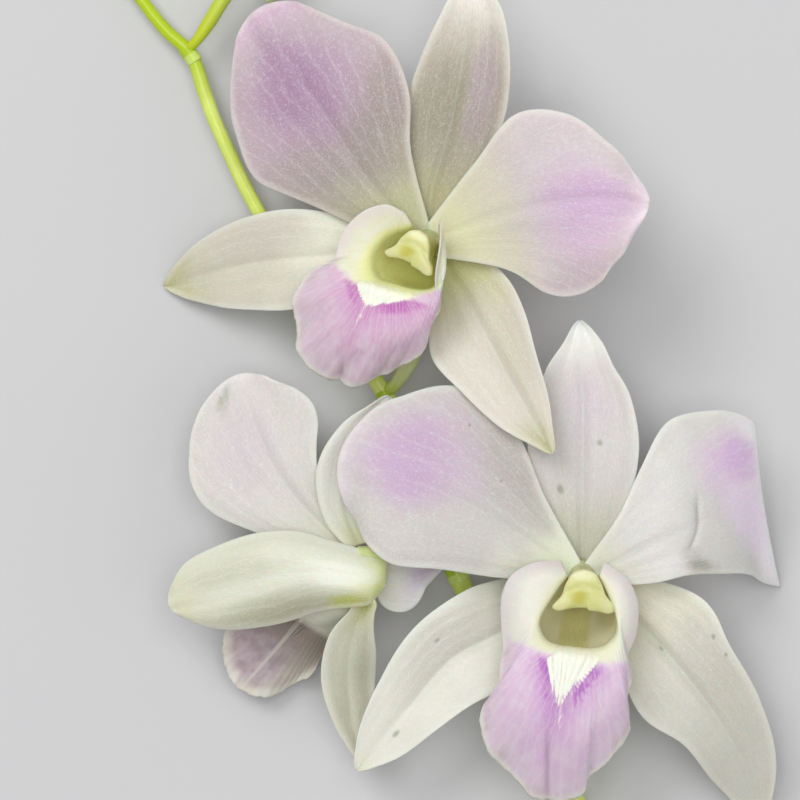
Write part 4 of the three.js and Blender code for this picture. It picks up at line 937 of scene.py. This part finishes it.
SEPALS = {
    "lower_bloom_dorsal_sepal": [
        [30.4, -29, 17.4, 2.6, 2.6, 0.3, 0.3], [30.4, -20, 18.8, 6.2, 6.2, 0.5, 0.5],
        [30.5, -13.3, 19.4, 8.6, 8.6, 0.5, 0.5], [30.5, -6.7, 19.8, 9.3, 9.3, 0.3, 0.3],
        [30.5, 0, 19.8, 8.1, 8, 0, 0.2], [30.2, 5.2, 19.6, 6, 5.5, 0, 0.2], [30.1, 9.4, 19.2, 3, 3.7, 0, 0],
        [30, 13.3, 18.6, 0.7, 0.8, 0, 0],
    ],
    "lower_bloom_lateral_sepal_left": [
        [26.6, -31.8, 14.6, 3.2, 4.2, 0, 0.4], [17.8, -38.3, 17.2, 7.8, 8.8, 0.6, 0.6],
        [8.7, -43.3, 18.2, 8.3, 8.3, 1.2, 0.8], [2, -50.8, 17.8, 6, 6.8, 1, 0.4],
        [-3.3, -57, 16.6, 4.2, 4.3, 0.4, 0.2], [-7.3, -62, 14.8, 0.7, 0.7, 0, 0],
    ],
    "lower_bloom_lateral_sepal_right": [
        [34.2, -31.8, 14.6, 4.2, 3.2, 0.4, 0], [42.5, -40, 17.4, 10.4, 8, 0.6, 0.6],
        [48.3, -46.7, 18, 8.8, 10, 0.6, 1], [53.6, -53.9, 15.6, 7.7, 7.2, 0.2, 0.6],
        [58.4, -62.4, 9.4, 5.4, 5.8, 0, 0.2], [61.6, -73, 0.9, 0.7, 0.7, 0, 0],
    ],
    "upper_bloom_dorsal_sepal": [
        [4.8, 26, 19.8, 2.8, 2.8, 0, 0.2], [5.4, 34.6, 21, 5.2, 5.2, -0.6, 1], [7.5, 41.7, 22, 7.4, 7.6, -1, 1.6],
        [9.3, 49.6, 22.8, 8, 8.5, -1.2, 1.8], [10.6, 56.7, 23.2, 6.9, 7.8, -1, 1.6],
        [11.5, 62.5, 23.4, 5.3, 6.2, -0.8, 1.4], [11.8, 66.7, 23.2, 3.6, 4.2, -0.4, 0.8],
        [12, 70.6, 22.8, 0.8, 0.8, 0, 0],
    ],
    "upper_bloom_lateral_sepal_left": [
        [2.5, 25.1, 18.8, 3.2, 2.8, 0, 0], [-10.8, 24.2, 16.6, 7, 7, -0.2, 0.6],
        [-18.3, 23.7, 14, 8.5, 8.3, -0.2, 0.8], [-25, 23, 10.8, 8, 7.7, 0, 0.8], [-31.3, 21.7, 7, 6.3, 6.1, 0, 0.6],
        [-36.4, 20.3, 3.4, 3.5, 3.7, 0.2, 0.4], [-40.2, 19.4, 0.9, 0.6, 0.7, 0, 0],
    ],
    "upper_bloom_lateral_sepal_right": [
        [6.6, 24.6, 17.6, 3.6, 3, 0.4, 0], [10.8, 17.6, 20.4, 7.2, 6.4, 1.6, -0.8],
        [13.9, 11.7, 23, 7.4, 9.8, 1.8, -1.2], [17.5, 5, 25.4, 5.7, 8.1, 1.2, -0.6],
        [21.1, -1.3, 26.8, 3.9, 5.8, 0.6, -0.2], [23.7, -5.8, 27.2, 1.8, 2.9, 0.2, 0],
        [25.2, -8.9, 27.2, 0.6, 0.6, 0, 0],
    ],
    "side_bloom_dorsal_sepal": [
        [-6.8, -24.2, 19.2, 2, 2.2, 0, -0.6], [-8.6, -18.6, 19.2, 4.4, 4.6, -0.4, -1],
        [-8.2, -12.5, 18.8, 5.8, 6, -0.8, -1.4], [-6.1, -6.7, 18.2, 4.7, 5.6, -0.6, -1],
        [-3.6, -2.4, 17.6, 2.4, 3, -0.2, -0.4], [-1.7, 0.6, 17, 0.7, 0.7, 0, 0],
    ],
    "side_bloom_lateral_sepal_near": [
        [-2.8, -30.7, 21.2, 2.4, 2.8, -0.6, -0.6], [-4.4, -30.2, 23.2, 4, 4.6, -1.2, -1.4],
        [-7.2, -29.7, 24.2, 4.8, 5, -1.4, -1.6], [-12.4, -29, 24.6, 6.1, 5.8, -2.8, -2.2],
        [-17.4, -28.9, 24.2, 7.4, 7.2, -3.6, -2.4], [-23.3, -30, 23.4, 7.8, 7.8, -3.4, -2.2],
        [-30, -31.7, 21.8, 7, 7.1, -2.4, -1.6], [-35, -33.2, 20, 5, 5.8, -1.2, -1],
        [-38.6, -34.4, 18.4, 1.9, 2.6, -0.2, -0.2],
    ],
    "side_bloom_lateral_sepal_far": [
        [-5.2, -32.6, 21.6, 1.8, 2.6, -0.4, 0.2], [-6.4, -35.8, 19.8, 2.2, 2.2, -0.4, 0.4],
        [-8.1, -40.6, 17, 4.2, 4, -1.6, 1.2], [-8.8, -46.7, 13.6, 4.7, 4.4, -2.4, 1.6],
        [-8, -53.3, 11.6, 3.6, 3.4, -1.6, 1], [-7, -58, 10.4, 2.2, 1.9, -0.6, 0.4],
        [-5.9, -61.6, 9.6, 0.6, 0.6, 0, 0],
    ],
}
sepal_finishes = {
    "lower_bloom_dorsal_sepal": tepal_finish(
        "Lower Top Sepal", (213, 208, 205), (194, 195, 172), (252, 252, 244),
        [((206, 195, 206), 0.6, 0.1, 0.56, 0.7, 0.2)],
        tip_from=0.66, specks=[(-0.47, 0.25, 0.11), (0.3, 0.42, 0.07)],
    ),
    # Its grey oval is painted shade on the sepal's upper half, beside the midrib.
    "lower_bloom_lateral_sepal_left": tepal_finish(
        "Lower Left Sepal", (229, 228, 216), (203, 204, 180), (220, 221, 192),
        [((204, 201, 190), 0.8, 0.4, 0.4, 0.7, 0.32)],
        specks=[(-0.27, 0.73, 0.12), (0.5, 0.4, 0.05)],
    ),
    # Its grey oval is painted shade on the sepal's left half.
    "lower_bloom_lateral_sepal_right": tepal_finish(
        "Lower Right Sepal", (212, 211, 199), (232, 230, 204), (226, 228, 202),
        [((196, 193, 180), 0.8, -0.45, 0.4, 0.65, 0.34)],
        specks=[(0.03, 0.24, 0.07), (-0.85, 0.41, 0.05), (-0.8, 0.33, 0.06)],
    ),
    # Its deep grey-olive body and its first, darker oval are painted shade where the sepal lies between the petals.
    "upper_bloom_dorsal_sepal": tepal_finish(
        "Upper Top Sepal", (168, 161, 142), (186, 184, 138), (242, 238, 228),
        [((154, 147, 126), 0.7, -0.3, 0.42, 0.5, 0.2), ((172, 154, 160), 0.8, 0.5, 0.5, 0.5, 0.26)],
        tip_from=0.42,
    ),
    "upper_bloom_lateral_sepal_left": tepal_finish(
        "Upper Left Sepal", (216, 212, 194), (250, 250, 232), (186, 187, 130),
        [((206, 200, 190), 0.5, 0.5, 0.45, 0.6, 0.3)],
        root_to=0.5, tip_from=0.62,
    ),
    # Its first oval is a painted shadow from the lip's side lobe, and its second, pale one a painted highlight.
    "upper_bloom_lateral_sepal_right": tepal_finish(
        "Upper Right Sepal", (213, 207, 193), (196, 197, 130), (180, 183, 118),
        [((199, 196, 168), 0.6, -0.4, 0.4, 0.5, 0.3), ((226, 224, 210), 0.5, 0.6, 0.5, 0.35, 0.35)],
        tip_from=0.62,
    ),
    "side_bloom_dorsal_sepal": tepal_finish(
        "Side Top Sepal", (223, 223, 214), (208, 211, 170), (222, 220, 214),
        [((200, 200, 188), 0.7, -0.7, 0.35, 0.5, 0.35)],
    ),
    # Its first, deepest oval is painted shade along the lower margin and its fourth, near-white one a painted highlight
    # along the middle; the second and third make it greyer towards the tip and the upper margin, and the last is the
    # yellow-green band by the chin.
    "side_bloom_lateral_sepal_near": tepal_finish(
        "Side Near Sepal", (224, 226, 208), (218, 226, 146), (218, 220, 188),
        [((174, 174, 142), 0.9, -0.9, 0.5, 0.8, 0.5), ((196, 197, 174), 0.7, 0.35, 0.7, 0.42, 0.26),
         ((208, 210, 184), 0.5, 0.95, 0.6, 0.4, 0.4), ((246, 247, 234), 0.7, 0.12, 0.3, 0.5, 0.32),
         ((180, 186, 44), 0.9, -0.8, 0.25, 0.5, 0.16)],
        tip_from=0.7,
    ),
    "side_bloom_lateral_sepal_far": tepal_finish(
        "Side Far Sepal", (209, 210, 189), (178, 180, 70), (216, 216, 200),
        [((192, 193, 170), 0.6, -0.4, 0.5, 0.5, 0.4)],
        root_to=0.36,
    ),
}
SEPAL_TRAITS = {
    "lower_bloom_lateral_sepal_right": {"channel": 1.8},
    "side_bloom_lateral_sepal_near": {"round": 1, "point": False, "heel": True, "cup": -0.4},
    "side_bloom_lateral_sepal_far": {"heel": True},
}
for k, (name, rows) in enumerate(SEPALS.items()):
    traits = {"point": True, "keel": 0.3, "frill": 0.05, "cup": 0.7, "spread": 0.25, "phase": 0.23 * k + 0.4}
    traits.update(SEPAL_TRAITS.get(name, {}))
    grow_blade(name, "sepal", sepal_finishes[name], rows, **traits)

# ---------------------------------------------------------------------------------------------- the buds
# A bud is a flower that has not opened: three sepals shut over the rest, with a seam between each two of them, and
# the blunt chin at its root. It sits on its own short stalk and is green, paler at its tip.

BUDS = {
    "bud_large": {
        "stalk": [[-34.4, 60.8, 6.4, 0.95], [-32.3, 63.8, 6.9, 1.25], [-29.2, 68.6, 7.6, 1.32], [-24.2, 74, 8.2, 1.4]],
        "body": [
            [-24.6, 72.8, 8.4, 1.6], [-23.2, 75.2, 8.6, 3.8], [-21, 79, 8.4, 4.9], [-18.8, 83, 7.8, 4.6],
            [-16.8, 87, 7, 3], [-15.6, 90, 6.4, 0.8],
        ],
        "chin": [[-21.6, 76.4, 7.6, 2.8], [-21.6, 71, 6.6, 2.5], [-22, 67, 6, 1.1]],
    },
    "bud_middle": {
        "stalk": [[-53.2, 79.2, 4, 0.8], [-54.4, 80.6, 4.2, 0.85], [-57.4, 82.8, 4, 1]],
        "body": [
            [-57, 82.4, 4, 1.2], [-58.6, 84, 3.8, 3], [-60.6, 87, 3.6, 3.8], [-62, 91, 3.5, 3.2],
            [-63, 95.4, 3.6, 0.7],
        ],
        "chin": [[-59, 86.4, 3.7, 2.4], [-59.8, 81.6, 3.4, 1.9], [-60, 79.2, 3.2, 0.9]],
    },
    "bud_tip": {
        "stalk": [[-53.8, 87.4, 3.6, 0.75], [-54.4, 90, 3.5, 0.8], [-54.8, 92.6, 3.4, 0.9]],
        "body": [
            [-54.7, 92, 3.4, 1], [-55, 94.2, 3.3, 2.4], [-55.2, 98, 3.2, 2.9], [-55, 102, 3.2, 2.2],
            [-54.6, 106.4, 3.2, 0.6],
        ],
        "chin": [[-54.8, 96.4, 3.2, 2], [-52.8, 93.2, 3.2, 1.4], [-52, 91.4, 3.2, 0.6]],
    },
    "bud_small": {
        "stalk": [[-50.9, 83.4, 4.2, 0.55], [-49.6, 85.2, 4.2, 0.6], [-48.4, 87.6, 4.2, 0.7]],
        "body": [
            [-48.5, 87.2, 4.2, 0.8], [-48, 89.2, 4, 1.9], [-47.2, 92.2, 3.8, 2.2], [-46.4, 95, 3.7, 1.6],
            [-45.8, 97.6, 3.6, 0.5],
        ],
        "chin": [[-47.6, 91, 3.8, 1.5], [-46.8, 88.6, 3.6, 1], [-46.6, 87.2, 3.5, 0.5]],
    },
}


def seamed(s, turn):
    """Three sepals shut over one another: a shallow furrow where each two meet."""
    seam = np.abs(((turn + 0.8 * s) / (2 * np.pi) * 3) % 1 - 0.5)
    return (1 - 0.07 * hump(seam, 0.07)) * blunt(0.96 * s**30, 0.02)


bud_skin = green_finish(
    "Bud Skin", (206, 212, 158), (168, 184, 96), (226, 222, 206), (196, 214, 12), fades=0.6, full=0.1, ribs=3
)
for name, made_of in BUDS.items():
    stalk, fan, where = round_stalk(rooted(made_of["stalk"]), 28, 24)
    body = round_stalk(made_of["body"], 60, 60, seamed)
    chin = round_stalk(made_of["chin"], 24, 36, round_end)
    grow_green(name, "bud", bud_skin, (stalk, fan, where * [1, 0.3, 1]), body, chin)

# ---------------------------------------------------------------------------------------------- table, light, view
# The spray lies on a plain pale table under broad, soft studio lights, and the camera looks straight down on it.

reach = 3.0
corners = [(-reach, -reach, 0), (reach, -reach, 0), (reach, reach, 0), (-reach, reach, 0)]
floor_mesh = bpy.data.meshes.new("table")
floor_mesh.from_pydata(corners, [], [(0, 1, 2, 3)])
table_finish, tree, shader = new_finish("Pale Table")
shader.inputs["Base Color"].default_value = (0.62, 0.62, 0.63, 1)
shader.inputs["Roughness"].default_value = 0.8
floor_mesh.materials.append(table_finish)
floor = bpy.data.objects.new("table", floor_mesh)
bpy.context.scene.collection.objects.link(floor)

for name, place, size, power in (
    ("key", (-0.5, 0.6, 1.1), 0.6, 7.0),
    ("front", (0.0, 0.1, 1.5), 0.8, 9.0),
    ("fill", (0.9, -0.4, 0.9), 1.2, 2.5),
):
    lamp = bpy.data.lights.new(name, "AREA")
    lamp.size = size
    lamp.energy = power
    lamp_object = bpy.data.objects.new(name, lamp)
    lamp_object.location = place
    aim = -lamp_object.location
    lamp_object.rotation_euler = aim.to_track_quat("-Z", "Y").to_euler()
    bpy.context.scene.collection.objects.link(lamp_object)

world = bpy.data.worlds.new("Soft Room")
world.use_nodes = True
world.node_tree.nodes["Background"].inputs["Color"].default_value = (1.0, 1.0, 1.0, 1)
world.node_tree.nodes["Background"].inputs["Strength"].default_value = 0.3
bpy.context.scene.world = world
bpy.context.scene.view_settings.view_transform = "Standard"

FILM = 36.0
VIEW_WIDTH = 0.1333
VIEW_HEIGHT = 0.9
FOCUS_PLANE = 0.02
camera = bpy.data.cameras.new("camera")
camera.sensor_width = FILM
camera.lens = FILM * VIEW_HEIGHT / VIEW_WIDTH
camera_object = bpy.data.objects.new("camera", camera)
camera_object.location = (0, 0, FOCUS_PLANE + VIEW_HEIGHT)
bpy.context.scene.collection.objects.link(camera_object)
bpy.context.scene.camera = camera_object
